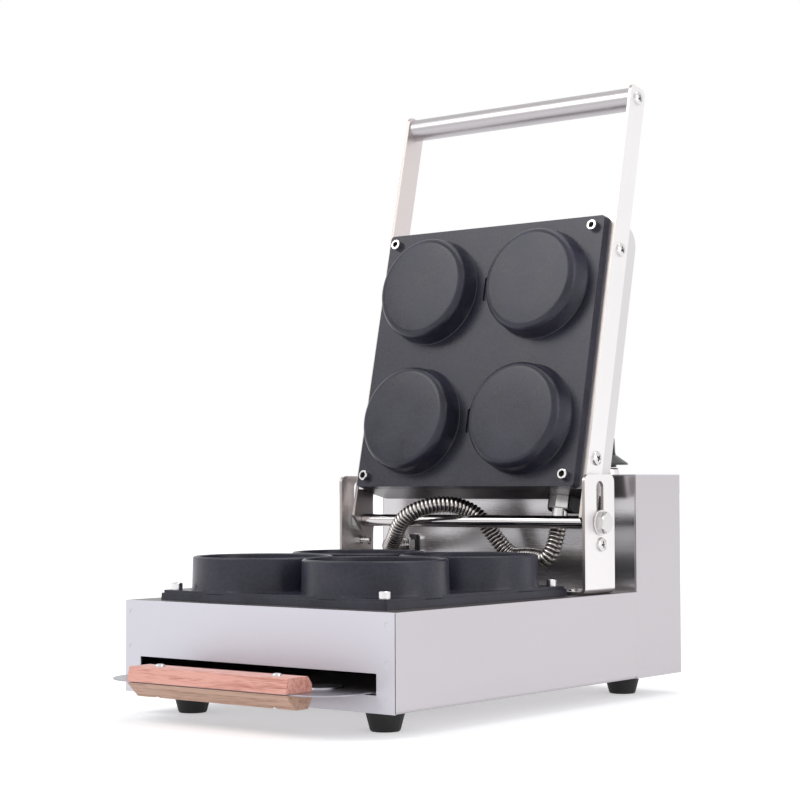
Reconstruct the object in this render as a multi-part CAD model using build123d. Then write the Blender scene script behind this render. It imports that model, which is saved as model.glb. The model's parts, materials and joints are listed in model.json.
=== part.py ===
from build123d import *
import math
import os

# Sizes in millimetres in the machine's own axes: X across, Y back from the front panel, Z up from the floor
PANEL_Y = -196.25
SHEET = 1.5
THIN = 1.2
BEND_R = 2.25
HOLE_CLEAR = 0.3
M4_R = 2.0
M5_R = 2.5
M6_R = 3.0
BASE_Z = 19.0
DECK_Z = 98.0

# Cups set the size of the cast plates
CUP_R = 61.5
CUP_GAP = 4.0
CUP_X = CUP_R + CUP_GAP / 2
CUP_DY = CUP_R + 3.75
CUP_H = 29.0
CUP_BORE_R = CUP_R - 3.7
CUP_FLOOR_Z = DECK_Z + 10.5
PLATE_T = 8.5
PLATE_HALF_W = CUP_X + CUP_R + 2.5
PLATE_Y0 = 18.0
PLATE_Y1 = PLATE_Y0 + 2 * (CUP_DY + CUP_R + 2.75)
PLATE_MID_Y = (PLATE_Y0 + PLATE_Y1) / 2
PLATE_L = PLATE_Y1 - PLATE_Y0
RIM_Z = DECK_Z + PLATE_T + CUP_H
CUP_CENTRES = [(sx * CUP_X, PLATE_MID_Y + sy * CUP_DY) for sx in (-1, 1) for sy in (-1, 1)]
SCREW_INSET = 11.0
SCREW_X = PLATE_HALF_W - SCREW_INSET
SCREW_YS = (PLATE_Y0 + SCREW_INSET, PLATE_Y1 - SCREW_INSET)

# Lid, drawn closed and then turned open about the hinge line
LID_GAP = 1.5
LID_FACE_Z = RIM_Z + LID_GAP
LID_PLATE_T = 9.0
LID_BACK_Z = LID_FACE_Z + LID_PLATE_T
DISC_R = CUP_BORE_R - 5.3
DISC_H = 22.0
DISC_DRAFT = 2.5
DISC_EDGE_R = 5.0
DISC_STUD = 5.5
COVER_HALF_W = PLATE_HALF_W + 4.0
COVER_TOP_Z = LID_BACK_Z + 44.0
COVER_NOSE_R = 20.0
COVER_FLANGE = 20.0
OPEN_ANGLE = 102.7

# Arms and handle
ARM_T = 3.0
ARM_H = 25.0
ARM_IN = COVER_HALF_W
ARM_OUT = ARM_IN + ARM_T
ARM_Z0 = LID_BACK_Z - 1.0
ARM_Z1 = ARM_Z0 + ARM_H
ARM_MID_Z = (ARM_Z0 + ARM_Z1) / 2
ARM_TIP_Y = -115.0
ARM_SCREW_YS = (PLATE_Y0 + 29.0, PLATE_Y1 - 31.0)
ARM_SCREW_L = 12.0
HANDLE_Y = ARM_TIP_Y + 11.2
HANDLE_R = 11.0
HANDLE_WALL = 1.5
PAN_R = 7.25
PAN_H = 3.2

# Hinge
PIVOT_Y = PLATE_Y1 + 27.5
PIVOT_Z = ARM_Z0 + 17.5
AXLE_R = 5.0
AXLE_CLEAR = 0.05
SLEEVE_R = 6.0
BRACKET_T = 3.0
BRACKET_IN = ARM_OUT + 6.0
BRACKET_OUT = BRACKET_IN + BRACKET_T
BRACKET_Y0 = PIVOT_Y - 25.0
BRACKET_Y1 = PIVOT_Y + 24.0
BRACKET_TOP = PIVOT_Z + 43.5
BRACKET_FOOT_X = BRACKET_IN - 35.5
BRACKET_SCREW_X = BRACKET_IN - 18.5
BRACKET_SCREW_YS = (BRACKET_Y0 + 12.5, BRACKET_Y1 - 11.5)
SLOT_W = 11.5
SLOT_TOP = PIVOT_Z + 37.5
SLOT_BOTTOM = PIVOT_Z - AXLE_R - 0.3
STOP_Y = PIVOT_Y + 1.0
STOP_Z = PIVOT_Z - 19.7
STOP_TIP = ARM_IN - 6.0
SPACER_R = 10.5
SPACER_GAP = 0.3
WASHER_R = 11.5
WASHER_T = 1.8
SIDE_GAP = 0.2
AXLE_HEAD_AF = 17.0
AXLE_HEAD_H = 6.4
AXLE_NUT_H = 5.0
AXLE_END = BRACKET_OUT + 8.5

# Base and rear box round the hinge
HALF_W = BRACKET_OUT + 6.5
BASE_DEPTH = BRACKET_Y1 + 26.5
BOX_REAR = BASE_DEPTH + 81.0
BOX_TOP = DECK_Z + 108.0
FOOT_X = HALF_W - 42.0
FOOT_Y = (40.0, BOX_REAR - 40.0)
FOOT_TOP_R = 17.0
FOOT_BOTTOM_R = 12.5
FOOT_WASHER_T = 1.2
WELD_X = HALF_W - 7.5
WELD_ZS = (BASE_Z + 11.0, BASE_Z + 39.0, DECK_Z - 10.0)
WELD_R = 2.5
WELD_DEEP = 0.25
VENT_X = 45.0
VENT_YS = (120.0, 140.0, 160.0, 180.0, 200.0)

# Tray slot, tray and runners
SLOT_HALF_W = HALF_W - 18.5
SLOT_Z0 = BASE_Z + 14.0
SLOT_Z1 = SLOT_Z0 + 17.0
TRAY_T = 1.0
TRAY_Z = SLOT_Z0 + 1.8
TRAY_HALF_W = SLOT_HALF_W - 2.5
TRAY_FRONT = -54.0
TRAY_REAR = BASE_DEPTH - 37.0
TRAY_WALL_FRONT = 14.0
TRAY_WALL_H = 12.0
TRAY_CORNER_R = 34.0
BEAD_X = 74.0
BEAD_R = 19.0
BEAD_H = 1.4
RUNNER_T = 1.2
RUNNER_GAP = 0.3
RUNNER_X = SLOT_HALF_W - 0.3
RUNNER_LIP = 11.0
RUNNER_Y0 = 6.0
RUNNER_L = BASE_DEPTH - 15.0
RUNNER_TOP = SLOT_Z1 + 3.0

# Tray grip, two halves of wood with the sheet between them
GRIP_HALF_L = 88.0
GRIP_FRONT = TRAY_FRONT - 3.5
GRIP_REAR = TRAY_FRONT + 27.7
GRIP_TOP = TRAY_Z + 13.2
GRIP_BOTTOM = TRAY_Z - 12.3
GRIP_SCREW_X = 65.0
GRIP_SCREW_Y = TRAY_FRONT + 12.0
GRIP_NUT_H = 3.2

# Conduit and its two ends
CONDUIT_R = 8.0
CONDUIT_VALLEY_R = 7.2
CONDUIT_BORE_R = 5.8
RIB_COUNT = 84
GLAND_AF = 19.0
GLAND_BORE_R = 5.0
COLLAR_R = CONDUIT_R - 0.6
LID_GLAND_X = COVER_HALF_W - 43.0
LID_GLAND_Z = LID_BACK_Z + 31.5
LID_NUT_END = PLATE_Y1 + 12.0
LID_GLAND_END = PLATE_Y1 + 20.0
LID_NUT_TURN = 38.6
BOX_GLAND_X = -(HALF_W - 35.2)
BOX_GLAND_Z = DECK_Z + 39.0
BOX_GLAND_END = BASE_DEPTH - 16.0

# Controls on top of the rear box
KNOB_X = HALF_W - 60.0
KNOB_Y = BASE_DEPTH + 40.0
SHAFT_R = 3.0
KNOB_BASE = BOX_TOP + 7.2
SKIRT_Z = KNOB_BASE + 2.3
KNOB_TOP = KNOB_BASE + 28.8
LAMP_X = KNOB_X - 52.0
LAMP_R = 4.0

os.makedirs("parts", exist_ok=True)
PLACE = Pos(0, PANEL_Y, 0)
HINGE = Pos(0, PIVOT_Y, PIVOT_Z)
OPEN = HINGE * Rot(-OPEN_ANGLE, 0, 0) * HINGE.inverse()


def save(name, shape, opened=False):
    placed = PLACE * OPEN * shape if opened else PLACE * shape
    export_step(placed, os.path.join("parts", name + ".step"))


def block(x0, x1, y0, y1, z0, z1):
    middle = Pos((x0 + x1) / 2, (y0 + y1) / 2, (z0 + z1) / 2)
    return middle * Box(x1 - x0, y1 - y0, z1 - z0)


def rod_x(radius, x0, x1, y, z):
    return Pos((x0 + x1) / 2, y, z) * Rot(0, 90, 0) * Cylinder(radius, x1 - x0)


def rod_y(radius, x, y0, y1, z):
    return Pos(x, (y0 + y1) / 2, z) * Rot(90, 0, 0) * Cylinder(radius, y1 - y0)


def rod_z(radius, x, y, z0, z1):
    return Pos(x, y, (z0 + z1) / 2) * Cylinder(radius, z1 - z0)


def hexagon(across, turn=0.0):
    return RegularPolygon(across / 2, 6, major_radius=False, rotation=turn)


def hex_x(across, x0, x1, y, z):
    return Pos(x0, y, z) * Rot(0, 90, 0) * extrude(hexagon(across), x1 - x0)


def hex_y(across, x, y0, y1, z, turn=90.0):
    return Pos(x, y1, z) * Rot(90, 0, 0) * extrude(hexagon(across, turn), y1 - y0)


def hex_z(across, x, y, z0, z1):
    return Pos(x, y, z0) * extrude(hexagon(across), z1 - z0)


def turned(points, x=0.0, y=0.0):
    profile = Plane.XZ * make_face(Polyline(*points, close=True))
    return Pos(x, y, 0) * revolve(profile, Axis.Z)


def pan_screw(shank_r, shank_l, head_r, head_h):
    # Head standing on Z = 0, shank below it
    points = [(0, -shank_l), (shank_r, -shank_l), (shank_r, 0), (head_r, 0), (head_r, head_h * 0.3)]
    points += [(head_r * 0.9, head_h * 0.68), (head_r * 0.62, head_h * 0.93), (0, head_h)]
    return turned(points)


def m5_nut(x, y, z0):
    return hex_z(8, x, y, z0, z0 + 4) - rod_z(M5_R, x, y, z0 - 1, z0 + 5)


def m6_nut_z(x, y, z0):
    return hex_z(10, x, y, z0, z0 + 5) - rod_z(M6_R, x, y, z0 - 1, z0 + 6)


def m6_nut_x(x0, y, z):
    return hex_x(10, x0, x0 + 5, y, z) - rod_x(M6_R, x0 - 1, x0 + 6, y, z)


def group(shapes):
    return Compound([solid for shape in shapes for solid in shape.solids()])


def both(shape):
    return group([shape, mirror(shape, Plane.YZ)])


def folded(points, radius, thickness, plane, length):
    line = FilletPolyline(*points, radius=radius)
    return extrude(plane * trace(line, thickness), length)


def side_sheet(points, x0, x1):
    # Outline in Y and Z, extruded along X
    return Pos(x0, 0, 0) * extrude(Plane.YZ * make_face(Polyline(*points, close=True)), x1 - x0)


# Base: one folded sheet for the floor and the two sides, with cooling slots in the floor
wall = HALF_W - SHEET / 2
floor_z = BASE_Z + SHEET / 2
base_shell = folded(
    [(-wall, DECK_Z), (-wall, floor_z), (wall, floor_z), (wall, DECK_Z)],
    BEND_R, SHEET, Plane.XZ, -(BASE_DEPTH - SHEET))
base_shell = Pos(0, SHEET, 0) * base_shell
base_shell -= [Pos(sx * VENT_X, y, BASE_Z) * extrude(SlotOverall(60, 5), SHEET * 2)
               for sx in (-1, 1) for y in VENT_YS]
base_shell -= [rod_z(M5_R + HOLE_CLEAR, sx * FOOT_X, FOOT_Y[0], BASE_Z - 1, BASE_Z + 3) for sx in (-1, 1)]
save("base_shell", base_shell)

# Front panel with the tray slot and the shallow marks of the spot welds
front_panel = block(-HALF_W, HALF_W, 0, SHEET, BASE_Z, DECK_Z)
front_panel -= block(-SLOT_HALF_W, SLOT_HALF_W, -1, SHEET + 1, SLOT_Z0, SLOT_Z1)
front_panel -= [rod_y(WELD_R, sx * WELD_X, -1, WELD_DEEP, z) for sx in (-1, 1) for z in WELD_ZS]
save("front_panel", front_panel)

# Deck with the window under the cups
window_x = PLATE_HALF_W - 22.5
under = DECK_Z - SHEET
deck_plate = block(-HALF_W + SHEET, HALF_W - SHEET, SHEET, BASE_DEPTH, under, DECK_Z)
deck_plate -= block(-window_x, window_x, PLATE_Y0 + 22, PLATE_Y1 - 5, under - 1, DECK_Z + 1)
mould_screw_places = [(sx * SCREW_X, y) for sx in (-1, 1) for y in SCREW_YS]
bracket_screw_places = [(sx * BRACKET_SCREW_X, y) for sx in (-1, 1) for y in BRACKET_SCREW_YS]
deck_plate -= [rod_z(M6_R + HOLE_CLEAR, x, y, under - 1, DECK_Z + 1) for x, y in mould_screw_places]
deck_plate -= [rod_z(M5_R + HOLE_CLEAR, x, y, under - 1, DECK_Z + 1) for x, y in bracket_screw_places]
save("deck_plate", deck_plate)

# Feet, each a rubber cone with its screw sunk in the bottom
foot_top = BASE_Z - FOOT_WASHER_T
SINK_R = 6.5
SINK_Z = 7.0
foot_bore = M5_R + 0.2
foot_profile = [(foot_bore, SINK_Z), (SINK_R, SINK_Z), (SINK_R, 0), (FOOT_BOTTOM_R - 1, 0),
                (FOOT_BOTTOM_R, 1.2), (FOOT_TOP_R - 0.4, foot_top - 1.2), (FOOT_TOP_R, foot_top),
                (foot_bore, foot_top)]
foot_places = [(sx * FOOT_X, y) for sx in (-1, 1) for y in FOOT_Y]
save("rubber_feet", group(turned(foot_profile, x, y) for x, y in foot_places))
save("foot_washers", group(
    rod_z(10, x, y, foot_top, BASE_Z) - rod_z(M5_R + HOLE_CLEAR, x, y, foot_top - 1, BASE_Z + 1)
    for x, y in foot_places))
foot_screw = [(0, SINK_Z - 2.8), (4.6, SINK_Z - 2.8), (4.6, SINK_Z), (M5_R, SINK_Z), (M5_R, BASE_Z + 8),
              (0, BASE_Z + 8)]
save("foot_screws", group(turned(foot_screw, x, y) for x, y in foot_places))
m5_nuts = [m5_nut(x, y, BASE_Z + SHEET) for x, y in foot_places]

# Runners under the tray's edges, folded out to the side walls
runner_lip_z = TRAY_Z - RUNNER_GAP - RUNNER_T / 2
runner_web_x = RUNNER_X + RUNNER_T / 2
runner_wall_x = HALF_W - SHEET - RUNNER_T / 2
runner_points = [(RUNNER_X - RUNNER_LIP, runner_lip_z), (runner_web_x, runner_lip_z),
                 (runner_web_x, RUNNER_TOP), (runner_wall_x, RUNNER_TOP),
                 (runner_wall_x, RUNNER_TOP + RUNNER_LIP)]
runner = Pos(0, RUNNER_Y0, 0) * folded(runner_points, 1.2, RUNNER_T, Plane.XZ, -RUNNER_L)
save("tray_runners", both(runner))

# Tray: flat sheet with rounded front corners, two pressed rings, low walls at the sides and the back
tray_outline = block(-TRAY_HALF_W, TRAY_HALF_W, TRAY_FRONT, TRAY_REAR, TRAY_Z, TRAY_Z + TRAY_T)
front_corners = tray_outline.edges().filter_by(Axis.Z).sort_by(Axis.Y)[:2]
tray_sheet = fillet(front_corners, TRAY_CORNER_R)
bead = [(BEAD_R - 3.5, 0), (BEAD_R - 2.2, BEAD_H), (BEAD_R - 1.0, BEAD_H), (BEAD_R, 0)]
bead_under = [(BEAD_R - 3.0, -0.01), (BEAD_R - 2.0, BEAD_H - 1.0), (BEAD_R - 1.2, BEAD_H - 1.0),
              (BEAD_R - 0.5, -0.01)]
for sx in (-1, 1):
    tray_sheet += Pos(sx * BEAD_X, 0, TRAY_Z + TRAY_T) * turned(bead)
    tray_sheet -= Pos(sx * BEAD_X, 0, TRAY_Z) * turned(bead_under)
wall_top = TRAY_Z + TRAY_WALL_H
for x0 in (-TRAY_HALF_W, TRAY_HALF_W - TRAY_T):
    tray_sheet += side_sheet([(TRAY_WALL_FRONT, TRAY_Z), (TRAY_REAR, TRAY_Z), (TRAY_REAR, wall_top),
                              (TRAY_WALL_FRONT + 14, wall_top)], x0, x0 + TRAY_T)
tray_sheet += block(-TRAY_HALF_W, TRAY_HALF_W, TRAY_REAR - TRAY_T, TRAY_REAR, TRAY_Z, wall_top)
grip_screw_places = [(sx * GRIP_SCREW_X, GRIP_SCREW_Y) for sx in (-1, 1)]
grip_holes = [rod_z(M4_R + 0.1, x, y, GRIP_BOTTOM - 5, GRIP_TOP + 5) for x, y in grip_screw_places]
tray_sheet -= grip_holes
save("tray_sheet", tray_sheet)

# Grip: upper half with a sloped front and a sloped back edge, lower half with a deep front chamfer
sheet_top = TRAY_Z + TRAY_T
grip_back = GRIP_REAR - 4.7
grip_upper = side_sheet([(GRIP_FRONT, sheet_top), (GRIP_FRONT + 3, GRIP_TOP), (grip_back, GRIP_TOP),
                         (GRIP_REAR, GRIP_TOP - 6), (GRIP_REAR, sheet_top)], -GRIP_HALF_L, GRIP_HALF_L)
grip_upper = fillet(grip_upper.edges().filter_by(Axis.X).group_by(Axis.Z)[-1], 1.2)
grip_upper -= grip_holes
save("tray_grip_upper", grip_upper)
grip_lower = side_sheet([(GRIP_FRONT, TRAY_Z), (GRIP_FRONT + 12.5, GRIP_BOTTOM), (grip_back, GRIP_BOTTOM),
                         (GRIP_REAR, GRIP_BOTTOM + 7.5), (GRIP_REAR, TRAY_Z)], -GRIP_HALF_L, GRIP_HALF_L)
grip_lower -= grip_holes
grip_lower -= [rod_z(4.2, x, y, GRIP_BOTTOM - 1, GRIP_BOTTOM + 3) for x, y in grip_screw_places]
save("tray_grip_lower", grip_lower)
grip_head_z = GRIP_BOTTOM + 3
grip_screw_top = GRIP_TOP + GRIP_NUT_H + 1.2
grip_screw = [(0, GRIP_BOTTOM + 0.4), (3.8, GRIP_BOTTOM + 0.4), (3.8, grip_head_z), (M4_R, grip_head_z),
              (M4_R, grip_screw_top), (0, grip_screw_top)]
save("tray_grip_screws", group(turned(grip_screw, x, y) for x, y in grip_screw_places))
save("tray_grip_nuts", group(
    hex_z(7, x, y, GRIP_TOP, GRIP_TOP + GRIP_NUT_H) - rod_z(M4_R, x, y, GRIP_TOP - 1, GRIP_TOP + 5)
    for x, y in grip_screw_places))

# Lower casting: drafted plate with a second lip, four cups joined by webs
slab = Pos(0, PLATE_MID_Y, DECK_Z) * extrude(
    RectangleRounded(2 * PLATE_HALF_W, PLATE_L, 4), PLATE_T - 2.5, taper=6)
lip = Pos(0, PLATE_MID_Y, DECK_Z) * extrude(
    RectangleRounded(2 * PLATE_HALF_W - 4.5, PLATE_L - 4.5, 3), PLATE_T)
plate_z = DECK_Z + PLATE_T
cup_outer = [(0, plate_z - 2), (CUP_R + 1.6, plate_z - 2), (CUP_R + 1.6, plate_z), (CUP_R + 0.6, plate_z + 2.5),
             (CUP_R, RIM_Z - 1.2), (CUP_R - 1.2, RIM_Z), (0, RIM_Z)]
cup_inner = [(0, CUP_FLOOR_Z), (CUP_BORE_R - 7.5, CUP_FLOOR_Z), (CUP_BORE_R - 3.2, CUP_FLOOR_Z + 1.5),
             (CUP_BORE_R - 1.2, CUP_FLOOR_Z + 6), (CUP_BORE_R, RIM_Z - 1), (CUP_BORE_R + 1, RIM_Z), (0, RIM_Z + 1)]
WEB_W = 14.0
WEB_L = 16.0
WEB_TOP = RIM_Z - 1.5
webs = [Pos(0, PLATE_MID_Y + sy * CUP_DY, (plate_z - 1 + WEB_TOP) / 2) * Box(WEB_L, WEB_W, WEB_TOP - plate_z + 1)
        for sy in (-1, 1)]
webs += [Pos(sx * CUP_X, PLATE_MID_Y, (plate_z - 1 + WEB_TOP) / 2) * Box(WEB_W, WEB_L + 2, WEB_TOP - plate_z + 1)
         for sx in (-1, 1)]
lower_mould = slab + lip + [turned(cup_outer, x, y) for x, y in CUP_CENTRES] + webs
lower_mould -= [turned(cup_inner, x, y) for x, y in CUP_CENTRES]
lower_mould -= [rod_z(M6_R + HOLE_CLEAR, x, y, DECK_Z - 1, plate_z + 1) for x, y in mould_screw_places]
STUD_X = CUP_X - 3.5
STUD_DY = 47.5
STUD_PLACES = [(sx * STUD_X, PLATE_MID_Y + sy * STUD_DY) for sx in (-1, 1) for sy in (-1, 1)]
STUD_DEPTH = 6.0
lower_mould -= [rod_z(M5_R, x, y, DECK_Z - 1, DECK_Z + STUD_DEPTH) for x, y in STUD_PLACES]
save("lower_mould_plate", lower_mould)

# Socket-head screws of the lower casting and their nuts under the deck
MOULD_HEAD_R = 5.0
mould_head_top = plate_z + 6.0
mould_screw = [(0, plate_z + 3), (2.4, plate_z + 3), (2.4, mould_head_top), (MOULD_HEAD_R - 0.5, mould_head_top),
               (MOULD_HEAD_R, mould_head_top - 0.5), (MOULD_HEAD_R, plate_z), (M6_R, plate_z),
               (M6_R, under - 8), (0, under - 8)]
save("lower_mould_screws", group(turned(mould_screw, x, y) for x, y in mould_screw_places))
save("lower_mould_nuts", group(m6_nut_z(x, y, under - 5) for x, y in mould_screw_places))

# Heating element: one bent tube with a cold pin at each end, below the casting and again behind the lid's
HEATER_R = 3.9
HEATER_PIN_R = 2.0
HEATER_OUT = CUP_X + 26.5
HEATER_MID = CUP_X - 33.5
HEATER_Y0 = PLATE_Y0 + 42.0
HEATER_Y1 = PLATE_Y1 - 37.0
HEATER_END = PLATE_Y1 - 41.0
HEATER_BEND = 26.0
CLAMP_T = 1.2
CLAMP_HALF_W = HEATER_OUT + 10.0
CLAMP_Y0 = HEATER_Y0 - 12.0
CLAMP_Y1 = HEATER_Y1 + 14.0
BOARD_T = 6.0
BOARD_EDGE = 2.0


def heater(z):
    route = FilletPolyline(
        (-HEATER_OUT, HEATER_END, z), (-HEATER_OUT, HEATER_Y0, z), (-HEATER_MID, HEATER_Y0, z),
        (-HEATER_MID, HEATER_Y1, z), (HEATER_MID, HEATER_Y1, z), (HEATER_MID, HEATER_Y0, z),
        (HEATER_OUT, HEATER_Y0, z), (HEATER_OUT, HEATER_END, z), radius=HEATER_BEND)
    tube = sweep(Plane(route @ 0, z_dir=route % 0) * Circle(HEATER_R), path=route)
    pins = [rod_y(HEATER_PIN_R, sx * HEATER_OUT, HEATER_END - 1, HEATER_END + 12, z) for sx in (-1, 1)]
    return tube + pins


def held_plate(z0, thickness, edge=0.0):
    plate = block(-CLAMP_HALF_W - edge, CLAMP_HALF_W + edge, CLAMP_Y0 - edge, CLAMP_Y1 + edge, z0, z0 + thickness)
    return plate - [rod_z(M5_R + HOLE_CLEAR, x, y, z0 - 1, z0 + thickness + 1) for x, y in STUD_PLACES]


clamp_top = DECK_Z - 2 * HEATER_R
save("lower_heater", heater(DECK_Z - HEATER_R))
save("lower_heater_clamp", held_plate(clamp_top - CLAMP_T, CLAMP_T))
board_bottom = clamp_top - CLAMP_T - BOARD_T
save("lower_insulation", held_plate(board_bottom, BOARD_T, BOARD_EDGE))
save("lower_heater_studs", group(
    rod_z(M5_R, x, y, board_bottom - 6, DECK_Z + STUD_DEPTH) for x, y in STUD_PLACES))
m5_nuts += [m5_nut(x, y, board_bottom - 4) for x, y in STUD_PLACES]

# Brackets of the hinge: an upright slotted plate folded into a foot
bracket_x = BRACKET_IN + BRACKET_T / 2
foot_line = [(BRACKET_FOOT_X, DECK_Z + BRACKET_T / 2), (bracket_x, DECK_Z + BRACKET_T / 2),
             (bracket_x, BRACKET_TOP)]
bracket = Pos(0, BRACKET_Y0, 0) * folded(foot_line, 5, BRACKET_T, Plane.XZ, -(BRACKET_Y1 - BRACKET_Y0))
top_corners = bracket.edges().filter_by(Axis.X).group_by(Axis.Z)[-1]
bracket = fillet(top_corners, 7)
slot_mid = (SLOT_TOP + SLOT_BOTTOM) / 2
bracket -= Pos(BRACKET_IN - 1, PIVOT_Y, slot_mid) * extrude(
    Plane.YZ * SlotOverall(SLOT_TOP - SLOT_BOTTOM, SLOT_W, rotation=90), BRACKET_T + 2)
bracket -= rod_x(M5_R + 0.1, BRACKET_IN - 1, BRACKET_OUT + 1, STOP_Y, STOP_Z)
bracket -= [rod_z(M5_R + HOLE_CLEAR, BRACKET_SCREW_X, y, DECK_Z - 1, DECK_Z + 5) for y in BRACKET_SCREW_YS]
save("hinge_bracket_right", bracket)
save("hinge_bracket_left", mirror(bracket, Plane.YZ))
bracket_screw = pan_screw(M5_R, BRACKET_T + SHEET + 6, 4.6, 2.6)
save("bracket_screws", group(Pos(x, y, DECK_Z + BRACKET_T) * bracket_screw for x, y in bracket_screw_places))
m5_nuts += [m5_nut(x, y, under - 4) for x, y in bracket_screw_places]

# Stop bolts: the open lid's arms come to rest against their inner ends
STOP_NUT_T = 4.0
stop_bolt = Pos(BRACKET_OUT, STOP_Y, STOP_Z) * Rot(0, 90, 0) * pan_screw(M5_R, BRACKET_OUT - STOP_TIP, 5, 3)
save("stop_bolts", both(stop_bolt))
stop_nut = hex_x(8, BRACKET_IN - STOP_NUT_T, BRACKET_IN, STOP_Y, STOP_Z)
stop_nut -= rod_x(M5_R, BRACKET_IN - 6, BRACKET_IN + 1, STOP_Y, STOP_Z)
save("base_m5_nuts", group(m5_nuts + [stop_nut, mirror(stop_nut, Plane.YZ)]))

# Rear control box: wrapped sheet, polished front, top panel
CORD_X = HALF_W - 50.0
CORD_Z = BASE_Z + 41.0
CORD_BORE_R = 4.2
CORD_THREAD_R = 8.0
LOUVRE_XS = [-56 + 14 * i for i in range(9)]
LOUVRE_Z = BOX_TOP - 46.0
box_top_in = BOX_TOP - THIN
box_shell = Pos(0, 0, BASE_Z) * folded(
    [(-wall, BASE_DEPTH), (-wall, BOX_REAR - SHEET / 2), (wall, BOX_REAR - SHEET / 2), (wall, BASE_DEPTH)],
    BEND_R, SHEET, Plane.XY, box_top_in - BASE_Z)
box_shell += block(-HALF_W + SHEET, HALF_W - SHEET, BASE_DEPTH, BOX_REAR - SHEET, BASE_Z, BASE_Z + SHEET)
box_shell -= [rod_z(M5_R + HOLE_CLEAR, sx * FOOT_X, FOOT_Y[1], BASE_Z - 1, BASE_Z + 3) for sx in (-1, 1)]
box_shell -= [Pos(x, BOX_REAR + 1, LOUVRE_Z) * Rot(90, 0, 0) * extrude(SlotOverall(40, 4, rotation=90), 4)
              for x in LOUVRE_XS]
box_shell -= rod_y(CORD_THREAD_R, CORD_X, BOX_REAR - 4, BOX_REAR + 1, CORD_Z)
save("control_box_shell", box_shell)

box_front = block(-HALF_W + SHEET, HALF_W - SHEET, BASE_DEPTH, BASE_DEPTH + THIN, DECK_Z, box_top_in)
box_front -= rod_y(GLAND_BORE_R, BOX_GLAND_X, BASE_DEPTH - 1, BASE_DEPTH + 3, BOX_GLAND_Z)
save("control_box_front", box_front)

BUSH_R = 5.0
top_profile = Rectangle(2 * HALF_W, BOX_REAR - BASE_DEPTH)
control_top = Pos(0, (BASE_DEPTH + BOX_REAR) / 2, box_top_in) * extrude(top_profile, THIN)
control_top = fillet(control_top.edges().filter_by(Axis.Z).group_by(Axis.Y)[-1], BEND_R + SHEET / 2)
control_top -= [rod_z(BUSH_R, sx * KNOB_X, KNOB_Y, box_top_in - 1, BOX_TOP + 1) for sx in (-1, 1)]
control_top -= [rod_z(LAMP_R, sx * LAMP_X, KNOB_Y, box_top_in - 1, BOX_TOP + 1) for sx in (-1, 1)]
save("control_panel_top", control_top)

# Control bodies under the top panel, each with a bush that guides its shaft
BODY_Z = BOX_TOP - 38.0
SHAFT_BORE_R = SHAFT_R + AXLE_CLEAR
SHAFT_FOOT = BOX_TOP - 21.0
BUSH_TOP = KNOB_BASE - 0.7


def control_body(x, half_x, half_y):
    body = block(x - half_x, x + half_x, KNOB_Y - half_y, KNOB_Y + half_y, BODY_Z, box_top_in)
    body = chamfer(body.edges().filter_by(Axis.Z), 3)
    body += rod_z(BUSH_R, x, KNOB_Y, box_top_in - 1, BUSH_TOP)
    return body - rod_z(SHAFT_BORE_R, x, KNOB_Y, SHAFT_FOOT - 1, KNOB_BASE)


save("thermostat_body", control_body(KNOB_X, 20, 17))
save("timer_body", control_body(-KNOB_X, 24, 24))
boss = [(BUSH_R, BOX_TOP), (15, BOX_TOP), (14, KNOB_BASE - 2), (13, BUSH_TOP), (BUSH_R, BUSH_TOP)]
save("dial_bosses", both(turned(boss, KNOB_X, KNOB_Y)))

# Knob with its shaft: hub, wide skirt, cone and fluted grip
knob_points = [(0, SHAFT_FOOT), (SHAFT_R, SHAFT_FOOT), (SHAFT_R, KNOB_BASE), (12, KNOB_BASE), (12, SKIRT_Z),
               (23, SKIRT_Z), (23, SKIRT_Z + 1.4), (21.5, SKIRT_Z + 2.6), (11.6, SKIRT_Z + 9.5),
               (11, SKIRT_Z + 12), (10.4, KNOB_TOP - 1.5), (9, KNOB_TOP), (0, KNOB_TOP)]
FLUTES = 12
FLUTE_R = 1.3
knob = turned(knob_points)
knob -= [Rot(0, 0, i * 360 / FLUTES) * rod_z(FLUTE_R, 11.2, 0, SKIRT_Z + 9.5, KNOB_TOP + 1) for i in range(FLUTES)]
save("temperature_knob", Pos(KNOB_X, KNOB_Y, 0) * knob)
save("timer_knob", Pos(-KNOB_X, KNOB_Y, 0) * knob)

# Pilot lamps with a domed lens
lamp_foot = BOX_TOP - 16.0
lamp = [(0, lamp_foot), (LAMP_R, lamp_foot), (LAMP_R, BOX_TOP), (6, BOX_TOP), (6, BOX_TOP + 1),
        (4.6, BOX_TOP + 1.6), (3.6, BOX_TOP + 3.2), (1.8, BOX_TOP + 4.2), (0, BOX_TOP + 4.4)]
save("pilot_lamps", both(turned(lamp, LAMP_X, KNOB_Y)))

# Terminal block and the gland where the mains lead goes in
TERMINAL_L = 60.0
TERMINAL_W = 20.0
TERMINAL_H = 18.0
TERMINAL_PITCH = 11.0
terminal_z = BASE_Z + SHEET
terminal_x = CORD_X - TERMINAL_L
terminal = block(terminal_x, CORD_X, KNOB_Y - TERMINAL_W / 2, KNOB_Y + TERMINAL_W / 2, terminal_z,
                 terminal_z + TERMINAL_H)
terminal -= [rod_z(M5_R, terminal_x + 8 + TERMINAL_PITCH * i, KNOB_Y, terminal_z + 8.5, terminal_z + TERMINAL_H + 1)
             for i in range(5)]
save("terminal_block", terminal)
cord_gland = hex_y(22, CORD_X, BOX_REAR, BOX_REAR + 5, CORD_Z)
cord_gland += rod_y(CORD_THREAD_R, CORD_X, BOX_REAR - 8, BOX_REAR, CORD_Z)
dome = turned([(0, 0), (10, 0), (10, 4), (8.5, 7.5), (6, 9), (0, 9)])
cord_gland += Pos(CORD_X, BOX_REAR + 5, CORD_Z) * Rot(-90, 0, 0) * dome
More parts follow.
